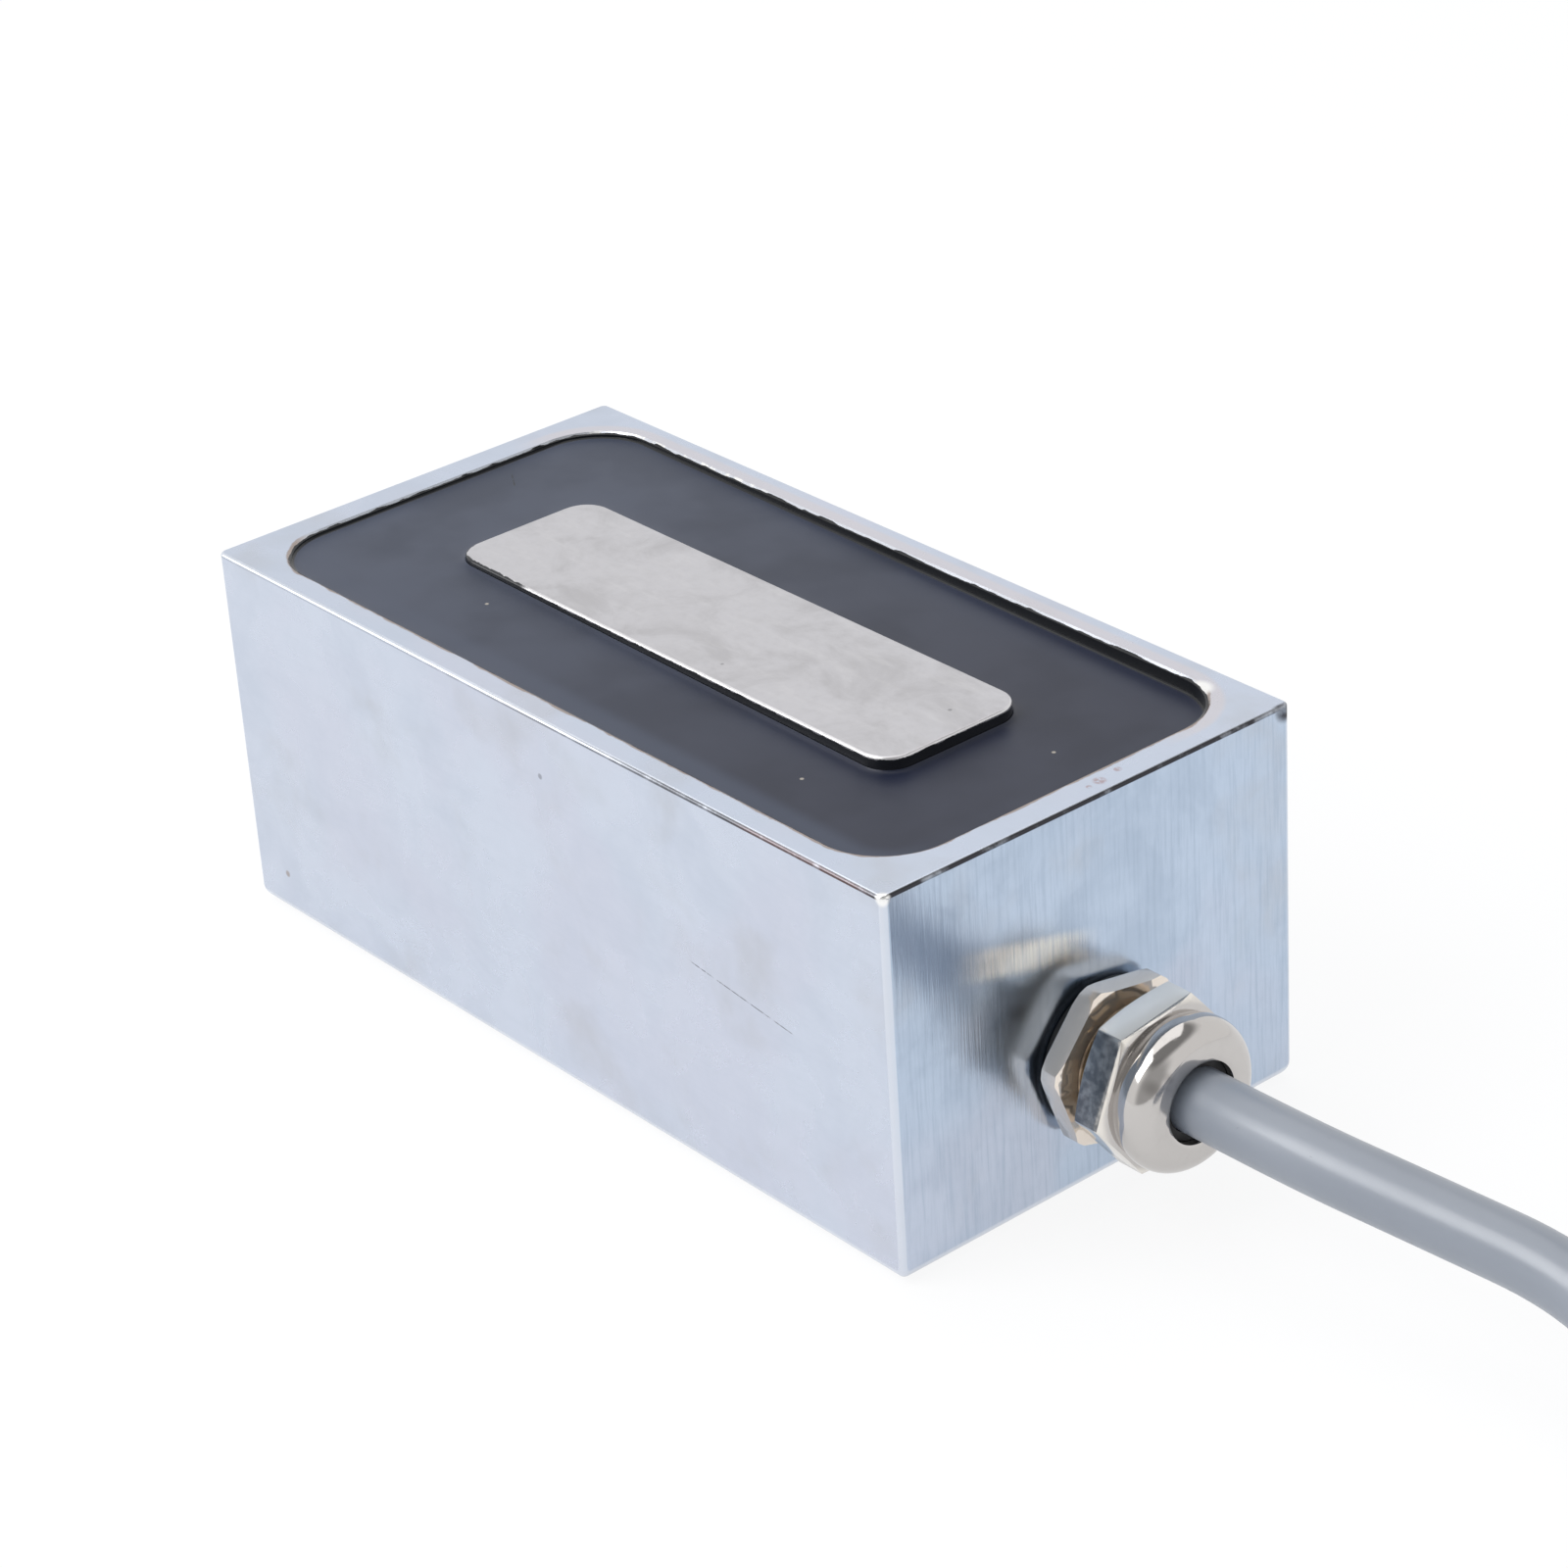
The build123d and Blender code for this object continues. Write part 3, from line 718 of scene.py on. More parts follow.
@dataclass(frozen=True)
class ResinFinish:
    """Cast resin: dark blue-grey, semi-gloss, with a few dust specks and shallow waves."""

    name: str = "cast_resin"
    colour: Colour = (0.014, 0.018, 0.038)
    pale: Colour = (0.037, 0.048, 0.080)
    deep: Colour = (0.008, 0.010, 0.020)
    film: Colour = (0.006, 0.007, 0.009)
    dust: Colour = (0.42, 0.38, 0.32)
    pocket: Outline = POCKET
    dust_places: tuple[Point, ...] = (
        (-26.45, -14.59, 46.35),
        (32.02, -16.39, 45.7),
        (-18.05, -0.5, 46.2),
        (47.0, 6.5, 45.5),
    )

    def material(self) -> bpy.types.Material:
        """Build the material and return it."""
        g = Graph(self.name)
        cloud = g.span(g.noise(15, 3, 0.5), 0.35, 0.7)
        far = g.span(g.axis("X"), 45 * MM, -60 * MM)
        colour = g.mix(far, self.colour, self.pale)
        colour = g.mix(cloud, colour, self.deep, 0.35)
        mouth = g.border(self.pocket)
        near_wall = g.span(g.axis("Y"), -14 * MM, -24 * MM, 0.10, 0.85)
        haze = g.times(g.band(mouth, -3.4, -1.1, 2.2), near_wall)
        colour = g.mix(haze, colour, self.pale)
        wall = g.span(mouth, -0.55, -0.30)
        colour = g.mix(wall, colour, self.film)
        for place in self.dust_places:
            spot = g.times(g.spot(place, 0.30), 0.8)
            colour = g.mix(spot, colour, self.dust)
        hair = g.stroke((-52.7, 9.1, 46.6), (-50.4, 7.7, 46.6), 0.16)
        colour = g.mix(hair, colour, self.film, 0.9)
        lint = g.span(g.noise(0.9, 5, 0.7, 2.0), 0.74, 0.80, 0.0, 0.35)
        colour = g.mix(lint, colour, self.pale)
        gloss = g.span(cloud, 0.0, 1.0, 0.33, 0.40)
        gloss = g.less(gloss, g.times(wall, 0.18))
        g.set(Base_Color=colour, Roughness=gloss, IOR=1.50, Specular_IOR_Level=0.32)
        g.set(Normal=g.bump(g.noise(9, 2, 0.5), 0.05, None, 0.5))
        return g.material


@dataclass(frozen=True)
class NickelFinish:
    """Bright nickel plating, a little yellow, with fine wear, and with painted highlights, painted dark reflections
    and painted shade on the gland's parts.
    """

    name: str = "nickel_plating"
    colour: Colour = (0.780, 0.745, 0.695)
    dull: Colour = (0.540, 0.500, 0.445)
    # Painted dark reflection on the dome.
    dome: Colour = (0.490, 0.470, 0.460)
    top_flat_highlight: Colour = (0.830, 0.830, 0.810)
    flange: Colour = (0.860, 0.770, 0.680)
    dark_reflection: Colour = (0.150, 0.158, 0.172)
    bronze_and_gap_shade: Colour = (0.120, 0.090, 0.056)
    shaded: Colour = (0.100, 0.085, 0.078)
    shaded_places: tuple[tuple[Point, float], ...] = (
        ((73.9, -6.01, 20.55), 1.6),
        ((74.5, -4.60, 21.44), 1.2),
        ((73.0, -0.67, 24.17), 1.3),
        ((73.0, 1.34, 24.08), 1.3),
    )
    roughness: float = 0.10

    def material(self) -> bpy.types.Material:
        """Build the material and return it."""
        g = Graph(self.name)
        wear = g.span(g.noise(1.8, 5, 0.65), 0.5, 0.75)
        colour = g.mix(wear, self.colour, self.dull, 0.4)
        # The dome is coloured darker: painted dark reflection.
        colour = g.mix(g.span(g.axis("X"), 70.2 * MM, 70.6 * MM), colour, self.dome, 0.8)
        on_flats = g.band(g.axis("X"), 66.2 * MM, 69.9 * MM, 0.1 * MM)
        # Painted highlight: the nut's upper flats lighter and less metallic.
        lit_top_flat = g.times(g.span(g.axis("Z", "Normal"), 0.95, 0.985), on_flats)
        colour = g.mix(lit_top_flat, colour, self.top_flat_highlight, 0.9)
        # Painted dark reflection, mottled, on the nut's flats that face the near side.
        side = g.times(g.axis("Y", "Normal"), -1.0)
        mottle = g.span(g.noise(1.1, 4, 0.6), 0.30, 0.65, 0.55, 0.95)
        dark_reflected_flats = g.times(g.times(g.band(side, 0.90, 0.96, 0.03), mottle), on_flats)
        colour = g.mix(dark_reflected_flats, colour, self.dark_reflection)
        on_flange = g.times(g.band(g.axis("X"), 61.1 * MM, 63.7 * MM, 0.1 * MM), 0.9)
        colour = g.mix(on_flange, colour, self.flange)
        satin_and_flat_highlight = g.most(g.times(lit_top_flat, 0.50), g.times(on_flange, 0.24))
        # The threaded neck between flange and nut: brass colour, darkened as painted shade in the gap between the
        # parts.
        neck = g.times(g.span(g.axis("X"), 63.72 * MM, 63.8 * MM), g.span(g.around_gland(), 7.75, 7.6))
        neck = g.times(neck, g.span(g.axis("X"), 69.8 * MM, 69.6 * MM))
        colour = g.mix(neck, colour, self.bronze_and_gap_shade)
        for place, radius in self.shaded_places:
            colour = g.mix(g.spot(place, radius), colour, self.shaded, 0.62)
        rough = g.span(wear, 0.0, 1.0, self.roughness, self.roughness + 0.12)
        g.set(Base_Color=colour, Metallic=g.less(1.0, satin_and_flat_highlight), Roughness=rough)
        g.set(Normal=g.bump(g.noise(1.2, 3, 0.5), 0.012, None, 0.5))
        return g.material


@dataclass(frozen=True)
class JacketFinish:
    """Grey cable jacket: smooth, semi-matt, with small scuffs."""

    name: str = "cable_jacket"
    colour: Colour = (0.226, 0.250, 0.292)
    dark: Colour = (0.206, 0.229, 0.270)
    scuffed: Colour = (0.100, 0.110, 0.125)

    def material(self) -> bpy.types.Material:
        """Build the material and return it."""
        g = Graph(self.name)
        tone = g.span(g.noise(12, 3, 0.5), 0.35, 0.7)
        colour = g.mix(tone, self.colour, self.dark, 0.4)
        scuff = g.span(g.noise(1.3, 4, 0.65, 0.6, (0.3, 1.0, 1.0)), 0.69, 0.76)
        colour = g.mix(scuff, colour, self.scuffed, 0.5)
        gloss = g.span(tone, 0.0, 1.0, 0.29, 0.33)
        g.set(Base_Color=colour, Roughness=gloss, IOR=1.5, Specular_IOR_Level=1.0)
        g.set(Normal=g.bump(g.noise(14, 0, 0.5), 0.04, None, 0.3))
        return g.material


@dataclass(frozen=True)
class PlainFinish:
    """A moulded, wound or tinned surface with a slight grain and uneven gloss."""

    name: str
    colour: Colour
    roughness: float = 0.5
    metallic: float = 0.0
    grain_mm: float = 0.6
    depth_mm: float = 0.01
    stretch: Point = (1.0, 1.0, 1.0)
    shade: float = 0.75

    def material(self) -> bpy.types.Material:
        """Build the material and return it."""
        g = Graph(self.name)
        tone = g.span(g.noise(self.grain_mm * 8, 4, 0.6), 0.35, 0.7)
        darker = tuple(part * self.shade for part in self.colour)
        g.set(Base_Color=g.mix(tone, self.colour, darker), Metallic=self.metallic)
        g.set(Roughness=g.span(tone, 0.0, 1.0, self.roughness, min(1.0, self.roughness + 0.1)))
        g.set(Normal=g.bump(g.noise(self.grain_mm, 3, 0.6, 0.0, self.stretch), self.depth_mm))
        return g.material


FINISHES: dict[Slot, Any] = {
    Slot.ZINC: ZincFinish(),
    Slot.POLE: PoleFinish(),
    Slot.SCREW: PlainFinish("screw_plating", (0.60, 0.61, 0.63), 0.32, 1.0, 0.4, 0.004),
    Slot.FORMER: PlainFinish("former_nylon", (0.02, 0.02, 0.02), 0.55),
    Slot.COPPER: PlainFinish("enamelled_copper", (0.62, 0.25, 0.10), 0.28, 1.0, 0.5, 0.05, (0.1, 0.1, 1.0)),
    Slot.TAPE: PlainFinish("polyester_tape", (0.72, 0.56, 0.12), 0.40, 0.0, 4.0, 0.05),
    Slot.RESIN: ResinFinish(),
    Slot.NICKEL: NickelFinish(),
    Slot.RUBBER: PlainFinish("black_rubber", (0.012, 0.012, 0.013), 0.55, 0.0, 0.3, 0.01),
    Slot.CAGE: PlainFinish("cage_nylon", (0.03, 0.03, 0.032), 0.5, 0.0, 0.4, 0.01),
    Slot.JACKET: JacketFinish(),
    Slot.STRAP: PlainFinish("strap_nylon", (0.014, 0.014, 0.015), 0.5, 0.0, 0.4, 0.02),
    Slot.BROWN: PlainFinish("brown_insulation", (0.15, 0.055, 0.025), 0.42, 0.0, 0.6, 0.01),
    Slot.BLUE: PlainFinish("blue_insulation", (0.02, 0.10, 0.42), 0.42, 0.0, 0.6, 0.01),
    Slot.TINNED: PlainFinish("tinned_copper", (0.70, 0.69, 0.66), 0.28, 1.0, 0.4, 0.006),
    Slot.SHRINK: PlainFinish("shrink_tube", (0.015, 0.015, 0.016), 0.45, 0.0, 0.5, 0.02),
}

NODE_SLOTS: dict[Slot, tuple[str, ...]] = {
    Slot.ZINC: ("housing",),
    Slot.POLE: ("core",),
    Slot.SCREW: ("core_screws",),
    Slot.FORMER: ("bobbin",),
    Slot.COPPER: ("winding", "coil_end_start", "coil_end_finish"),
    Slot.TAPE: ("winding_tape",),
    Slot.RESIN: ("potting",),
    Slot.NICKEL: ("gland_body", "gland_locknut", "gland_nut"),
    Slot.RUBBER: ("gland_seal_ring", "gland_sleeve"),
    Slot.CAGE: ("gland_cage",),
    Slot.JACKET: ("cable_lead", "cable_coil"),
    Slot.STRAP: ("cable_tie",),
    Slot.BROWN: ("tail_brown", "core_wire_brown"),
    Slot.BLUE: ("tail_blue", "core_wire_blue"),
    Slot.TINNED: ("ferrule_brown", "ferrule_blue", "splice_start", "splice_finish"),
    Slot.SHRINK: ("splice_sleeve_start", "splice_sleeve_finish"),
}


@dataclass
class Wardrobe:
    """Makes each finish once and puts it on pieces and nodes."""

    made: dict[Slot, bpy.types.Material] = field(default_factory=dict)

    def material(self, slot: Slot) -> bpy.types.Material:
        """The material of a slot, made on first use.

        Args:
            slot: the record's slot.

        Returns:
            The material.
        """
        if slot not in self.made:
            self.made[slot] = FINISHES[slot].material()
        return self.made[slot]

    def dress(self, obj: bpy.types.Object, slot: Slot) -> None:
        """Put a slot's material on an object in place of what it has.

        Args:
            obj: the piece or node.
            slot: the record's slot.
        """
        obj.data.materials.clear()
        obj.data.materials.append(self.material(slot))

    def dress_nodes(self, nodes: dict[str, bpy.types.Object]) -> None:
        """Dress every node of the frame.

        Args:
            nodes: the frame's nodes by name.
        """
        for slot, names in NODE_SLOTS.items():
            for name in names:
                self.dress(nodes[name], slot)
                LOG.info("node %s wears %s", name, self.material(slot).name)

    def settle(self, obj: bpy.types.Object, slot: Slot) -> bpy.types.Object:
        """Dress a new piece and let it ride on the body.

        Args:
            obj: the finished piece.
            slot: the record's slot it takes its finish from.

        Returns:
            The same piece.
        """
        self.dress(obj, slot)
        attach(obj, "root")
        LOG.info("piece %s is in place", obj.name)
        return obj


@dataclass
class Studio:
    """Floor, lamps, surroundings and camera."""

    camera_place: Point = (0.36216083, -0.28148973, 0.27241217)
    camera_right: Point = (0.64589803, 0.76114488, -0.05894241)
    camera_down: Point = (0.32758708, -0.34606777, -0.87916085)
    camera_ahead: Point = (-0.68956685, 0.54853949, -0.47286572)
    focal_px: float = 4578.01
    picture_px: float = 1600.0
    sensor_mm: float = 36.0
    white: Colour = (1.0, 1.0, 1.0)
    floor_colour: Colour = (0.94, 0.95, 0.97)
    floor_side: float = 6.0
    floor_drop: float = 0.0002
    sky: Colour = (0.95, 0.97, 1.0)
    soft_light: float = 0.62
    floor_glow: float = 0.88
    floor_gleam: float = 0.72
    # Direction, the cosines where the dimming starts and ends, and the share of light that is left
    dim_zones: tuple[tuple[Point, float, float, float], ...] = (
        ((0.0, 0.0, 1.0), 0.62, 0.82, 0.30),
        ((0.70, -0.66, 0.22), 0.66, 0.90, 0.50),
    )
    # Name, place and target in metres, side in metres, power in watts
    lamps: tuple[tuple[str, Point, Point, float, float], ...] = (
        ("top_lamp", (-0.25, 0.10, 0.95), (0, 0, 0.03), 0.9, 3.1),
        ("left_lamp", (-0.75, -0.80, 0.22), (0, 0, 0.03), 0.5, 2.0),
        ("key_lamp", (-0.18, -0.62, 0.73), (0.12, 0, 0.02), 0.62, 4.9),
    )

    def build_camera(self) -> None:
        """Place the camera as the photograph's."""
        data = bpy.data.cameras.new("photo_camera")
        data.sensor_width = self.sensor_mm
        data.sensor_fit = "HORIZONTAL"
        data.lens = self.sensor_mm * self.focal_px / self.picture_px
        data.clip_start = 0.01
        camera = bpy.data.objects.new("photo_camera", data)
        bpy.context.scene.collection.objects.link(camera)
        right, down, ahead = (Vector(v) for v in (self.camera_right, self.camera_down, self.camera_ahead))
        turn = Matrix((right, -down, -ahead)).transposed()
        camera.matrix_world = Matrix.Translation(Vector(self.camera_place)) @ turn.to_4x4()
        bpy.context.scene.camera = camera

    def build_world(self) -> None:
        """Light from all round: white where it is seen, dimmer overhead and behind the camera in reflections."""
        world = bpy.data.worlds.new("soft_studio")
        bpy.context.scene.world = world
        world.use_nodes = True
        tree = world.node_tree
        tree.nodes.clear()
        path = add_node(tree, "LightPath").outputs
        facing = add_node(tree, "TexCoord").outputs["Generated"]
        dim: Any = 1.0
        for direction, start, end, least in self.dim_zones:
            turn = add_node(tree, "VectorMath", facing, Vector(direction).normalized(), operation="DOT_PRODUCT")
            zone = smooth_range(tree, turn.outputs["Value"], (start, end, 1.0, least))
            dim = join_values(tree, "MULTIPLY", dim, zone)
        soft = add_node(tree, "Background", self.sky, self.soft_light).outputs[0]
        mirrored = add_node(tree, "Background", self.white, dim).outputs[0]
        white = add_node(tree, "Background", self.white).outputs[0]
        reflected = join_shaders(tree, path["Is Glossy Ray"], soft, mirrored)
        seen = join_values(tree, "MAXIMUM", path["Is Camera Ray"], path["Is Transmission Ray"])
        add_node(tree, "OutputWorld", join_shaders(tree, seen, reflected, white))

    def build_floor(self) -> None:
        """A wide white floor that keeps the object's shadow."""
        deselect()
        bpy.ops.mesh.primitive_plane_add(size=self.floor_side, location=(0, 0, -self.floor_drop))
        floor = bpy.context.object
        floor.name = "studio_floor"
        material = bpy.data.materials.new("studio_floor")
        material.use_nodes = True
        tree = material.node_tree
        tree.nodes.clear()
        path = add_node(tree, "LightPath").outputs
        matt = add_node(tree, "BsdfDiffuse", self.floor_colour).outputs["BSDF"]
        glow = add_node(tree, "Emission", self.white).outputs["Emission"]
        seen = join_values(tree, "MAXIMUM", path["Is Camera Ray"], path["Is Transmission Ray"])
        lit = join_values(tree, "MULTIPLY", seen, self.floor_glow)
        mirrored = join_values(tree, "MULTIPLY", path["Is Glossy Ray"], self.floor_gleam)
        amount = join_values(tree, "MAXIMUM", lit, mirrored)
        add_node(tree, "OutputMaterial", join_shaders(tree, amount, matt, glow))
        floor.data.materials.append(material)

    def build_lamp(self, name: str, place: Point, target: Point, side: float, power: float) -> None:
        """A soft square lamp that looks at a point.

        Args:
            name: the lamp's name.
            place: where it stands, in metres.
            target: what it looks at, in metres.
            side: the length of its side, in metres.
            power: its power, in watts.
        """
        data = bpy.data.lights.new(name, "AREA")
        data.shape = "SQUARE"
        data.size = side
        data.energy = power
        lamp = bpy.data.objects.new(name, data)
        bpy.context.scene.collection.objects.link(lamp)
        lamp.location = place
        lamp.rotation_euler = (Vector(target) - Vector(place)).to_track_quat("-Z", "Y").to_euler()

    def build(self) -> None:
        """Build the whole studio."""
        scene = bpy.context.scene
        scene.view_settings.view_transform = "Standard"
        self.build_camera()
        self.build_world()
        self.build_floor()
        for lamp in self.lamps:
            self.build_lamp(*lamp)


@dataclass
class Cable:
    """The grey lead: out of the gland, down to the floor, and onto its storage coil."""

    radius: float = 3.8
    coil_middle: tuple[float, float] = (197.4, 1.4)
    coil_floor: float = 0.8
    entry_angle: float = 213.0
    points_per_turn: int = 24
    turn_radius: float = 38.0
    exit_point: Point = (75.4, 0.0, 16.5)
    length: float = 0.92
    route: tuple[Point, ...] = (
        (56.5, 0.0, 16.5),
        (86.0, 0.0, 16.5),
        (104.5, 3.3, 14.9),
        (122.5, 6.9, 12.9),
        (138.35, 3.05, 8.9),
        (152.75, -6.7, 5.8),
    )

    def turn_point(self, angle: float, radius: float, height: float) -> Point:
        """A point of the coil, in millimetres.

        Args:
            angle: degrees around the coil's middle.
            radius: distance from the middle.
            height: height over the floor.

        Returns:
            The point.
        """
        turn = math.radians(angle)
        x, y = self.coil_middle
        return (x + radius * math.cos(turn), y + radius * math.sin(turn), height)

    def coil_points(self) -> list[Point]:
        """The coil's turns: outer and inner below, then inner and outer above.

        Returns:
            The points, in millimetres.
        """
        step = 360.0 / self.points_per_turn
        swell = 1.0 / math.cos(math.radians(step / 2))
        outer = self.turn_radius + self.radius
        inner = self.turn_radius - self.radius
        low = self.coil_floor + self.radius
        high = low + 2 * self.radius
        # Angle from the entry, radius and height where one stretch ends and the next starts
        legs = (
            (0.0, outer, low),
            (285.0, outer, low),
            (345.0, inner, low),
            (598.0, inner, low),
            (658.0, inner, high),
            (925.0, inner, high),
            (985.0, outer, high),
            (1217.0, outer, high),
        )
        points = []
        for (start, r0, z0), (end, r1, z1) in zip(legs, legs[1:]):
            count = max(1, round((end - start) / step))
            for i in range(count):
                share = i / count
                ease = share * share * (3 - 2 * share)
                angle = self.entry_angle + start + (end - start) * share
                points.append(self.turn_point(angle, (r0 + (r1 - r0) * ease) * swell, z0 + (z1 - z0) * ease))
        last_angle, last_radius, last_height = legs[-1]
        points.append(self.turn_point(self.entry_angle + last_angle, last_radius, last_height))
        return points

    def build(self, wardrobe: Wardrobe, nodes: dict[str, bpy.types.Object]) -> bpy.types.Object:
        """Args:
            wardrobe: where the finish comes from.
            nodes: the frame's nodes by name; not used.

        Returns:
            The cable piece.
        """
        data = bpy.data.curves.new("grey_lead", "CURVE")
        data.dimensions = "3D"
        data.resolution_u = 10
        data.bevel_depth = self.radius * MM
        data.bevel_resolution = 8
        data.use_fill_caps = True
        points = [*self.route, *self.coil_points()]
        spline = data.splines.new("NURBS")
        spline.points.add(len(points) - 1)
        for target, point in zip(spline.points, points):
            target.co = (*(c * MM for c in point), 1.0)
        spline.order_u = 3
        spline.use_endpoint_u = True
        lead = bpy.data.objects.new("grey_lead", data)
        bpy.context.scene.collection.objects.link(lead)
        wardrobe.settle(lead, Slot.JACKET)
        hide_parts("cable_lead", "cable_coil")
        return lead


def shade(obj: bpy.types.Object, angle: float) -> None:
    """Shade smooth, with creases kept.

    Args:
        obj: the finished piece.
        angle: the sharpest turn that still looks smooth, in degrees.
    """
    activate(obj)
    bpy.ops.object.shade_smooth_by_angle(angle=math.radians(angle))


def apply_modifiers(obj: bpy.types.Object) -> None:
    """Apply every modifier of a piece, in order.

    Args:
        obj: the piece.
    """
    activate(obj)
    for modifier in list(obj.modifiers):
        bpy.ops.object.modifier_apply(modifier=modifier.name)


def face_outwards(obj: bpy.types.Object) -> None:
    """Turn every face of a piece outwards.

    Args:
        obj: the piece.
    """
    activate(obj)
    bpy.ops.object.mode_set(mode="EDIT")
    bpy.ops.mesh.select_all(action="SELECT")
    bpy.ops.mesh.normals_make_consistent(inside=False)
    deselect()


def rest_at_origin(obj: bpy.types.Object) -> None:
    """Put a piece's place, turn and size into its mesh.

    Args:
        obj: the piece.
    """
    activate(obj)
    bpy.ops.object.transform_apply(location=True, rotation=True, scale=True)


def bevel_edges(obj: bpy.types.Object, width_mm: float, angle: float) -> None:
    """Round the sharp edges of a piece.

    Args:
        obj: the piece.
        width_mm: the bevel's width, in millimetres.
        angle: the least turn that counts as sharp, in degrees.
    """
    modifier = obj.modifiers.new("rounded_edges", "BEVEL")
    modifier.width = width_mm * MM
    modifier.segments = 2
    modifier.limit_method = "ANGLE"
    modifier.angle_limit = math.radians(angle)
    apply_modifiers(obj)


def combine(obj: bpy.types.Object, other: bpy.types.Object, operation: str) -> None:
    """Cut, keep or add another body, which is then deleted.

    Args:
        obj: the piece that stays.
        other: the body it is combined with.
        operation: Blender's name for it.
    """
    modifier = obj.modifiers.new("combined", "BOOLEAN")
    modifier.operation = operation
    modifier.solver = "EXACT"
    modifier.object = other
    apply_modifiers(obj)
    bpy.data.objects.remove(other)


def turned_body(name: str, profile: Sequence[tuple[float, float]], height: float, segments: int) -> bpy.types.Object:
    """A body turned about the gland's axis: a ring is drawn along its closed profile.

    Args:
        name: the piece's name.
        profile: pairs of place along X and radius, in millimetres, the last joining the first.
        height: the axis's height, in millimetres.
        segments: the number of steps around.

    Returns:
        The new piece.
    """
    closed = [*profile, profile[0]]
    deselect()
    start, first_radius = closed[0]
    bpy.ops.mesh.primitive_circle_add(
        vertices=segments,
        radius=first_radius * MM,
        location=(start * MM, 0, height * MM),
        rotation=(0, math.pi / 2, 0),
    )
    obj = bpy.context.object
    obj.name = name
    rest_at_origin(obj)
    bpy.ops.object.mode_set(mode="EDIT")
    bpy.ops.mesh.select_mode(type="EDGE")
    bpy.ops.mesh.select_all(action="SELECT")
    for (before, radius), (after, next_radius) in zip(closed, closed[1:]):
        bpy.ops.mesh.extrude_edges_move(TRANSFORM_OT_translate={"value": ((after - before) * MM, 0, 0)})
        ratio = next_radius / radius
        bpy.ops.transform.resize(value=(1, ratio, ratio), center_override=(after * MM, 0, height * MM))
    bpy.ops.mesh.select_all(action="SELECT")
    bpy.ops.mesh.remove_doubles(threshold=0.001 * MM)
    bpy.ops.mesh.normals_make_consistent(inside=False)
    deselect()
    return obj


def hexagon_bar(name: str, ends: tuple[float, float], flats: float, turn: float, height: float) -> bpy.types.Object:
    """A six-sided bar along the gland's axis.

    Args:
        name: the piece's name.
        ends: where it starts and ends along X, in millimetres.
        flats: the width across its flats, in millimetres.
        turn: the angle of its first corner from +Y towards +Z, in degrees.
        height: the axis's height, in millimetres.

    Returns:
        The new piece.
    """
    deselect()
    facing = Matrix.Rotation(math.radians(turn), 4, "X") @ Matrix.Rotation(math.pi / 2, 4, "Y")
    bpy.ops.mesh.primitive_cylinder_add(
        vertices=6,
        radius=flats / math.sqrt(3) * MM,
        depth=(ends[1] - ends[0]) * MM,
        location=((ends[0] + ends[1]) / 2 * MM, 0, height * MM),
        rotation=tuple(facing.to_euler()),
    )
    obj = bpy.context.object
    obj.name = name
    rest_at_origin(obj)
    return obj


def rounded_outline(
    name: str, length: float, width: float, corner: float, steps: int, level: float
) -> bpy.types.Object:
    """A flat rounded rectangle on the block's middle.

    Args:
        name: the piece's name.
        length: its size along X, in millimetres.
        width: its size along Y, in millimetres.
        corner: the corners' radius, in millimetres.
        steps: the number of steps in each corner.
        level: its height, in millimetres.

    Returns:
        The new piece, a single face.
    """
    deselect()
    bpy.ops.mesh.primitive_plane_add(size=1, location=(0, 0, level * MM))
    obj = bpy.context.object
    obj.name = name
    obj.scale = (length * MM, width * MM, 1)
    rest_at_origin(obj)
    bpy.ops.object.mode_set(mode="EDIT")
    bpy.ops.mesh.select_all(action="SELECT")
    bpy.ops.mesh.bevel(offset=corner * MM, offset_type="OFFSET", segments=steps, affect="VERTICES")
    deselect()
    return obj


def choose_edges(obj: bpy.types.Object, test: Callable[[Vector, Vector], bool]) -> None:
    """Select edges of a mesh by their ends. The piece is left in edit mode.

    Args:
        obj: the piece.
        test: says whether an edge between two points counts.
    """
    activate(obj)
    bpy.ops.object.mode_set(mode="EDIT")
    bpy.ops.mesh.select_mode(type="EDGE")
    bpy.ops.mesh.select_all(action="DESELECT")
    bpy.ops.object.mode_set(mode="OBJECT")
    for edge in obj.data.edges:
        edge.select = test(*(obj.data.vertices[i].co for i in edge.vertices))
    bpy.ops.object.mode_set(mode="EDIT")


def choose_long_edges(obj: bpy.types.Object, least_mm: float) -> None:
    """Select the edges longer than a length. The piece is left in edit mode.

    Args:
        obj: the piece.
        least_mm: the length, in millimetres.
    """
    choose_edges(obj, lambda first, second: (first - second).length > least_mm * MM)


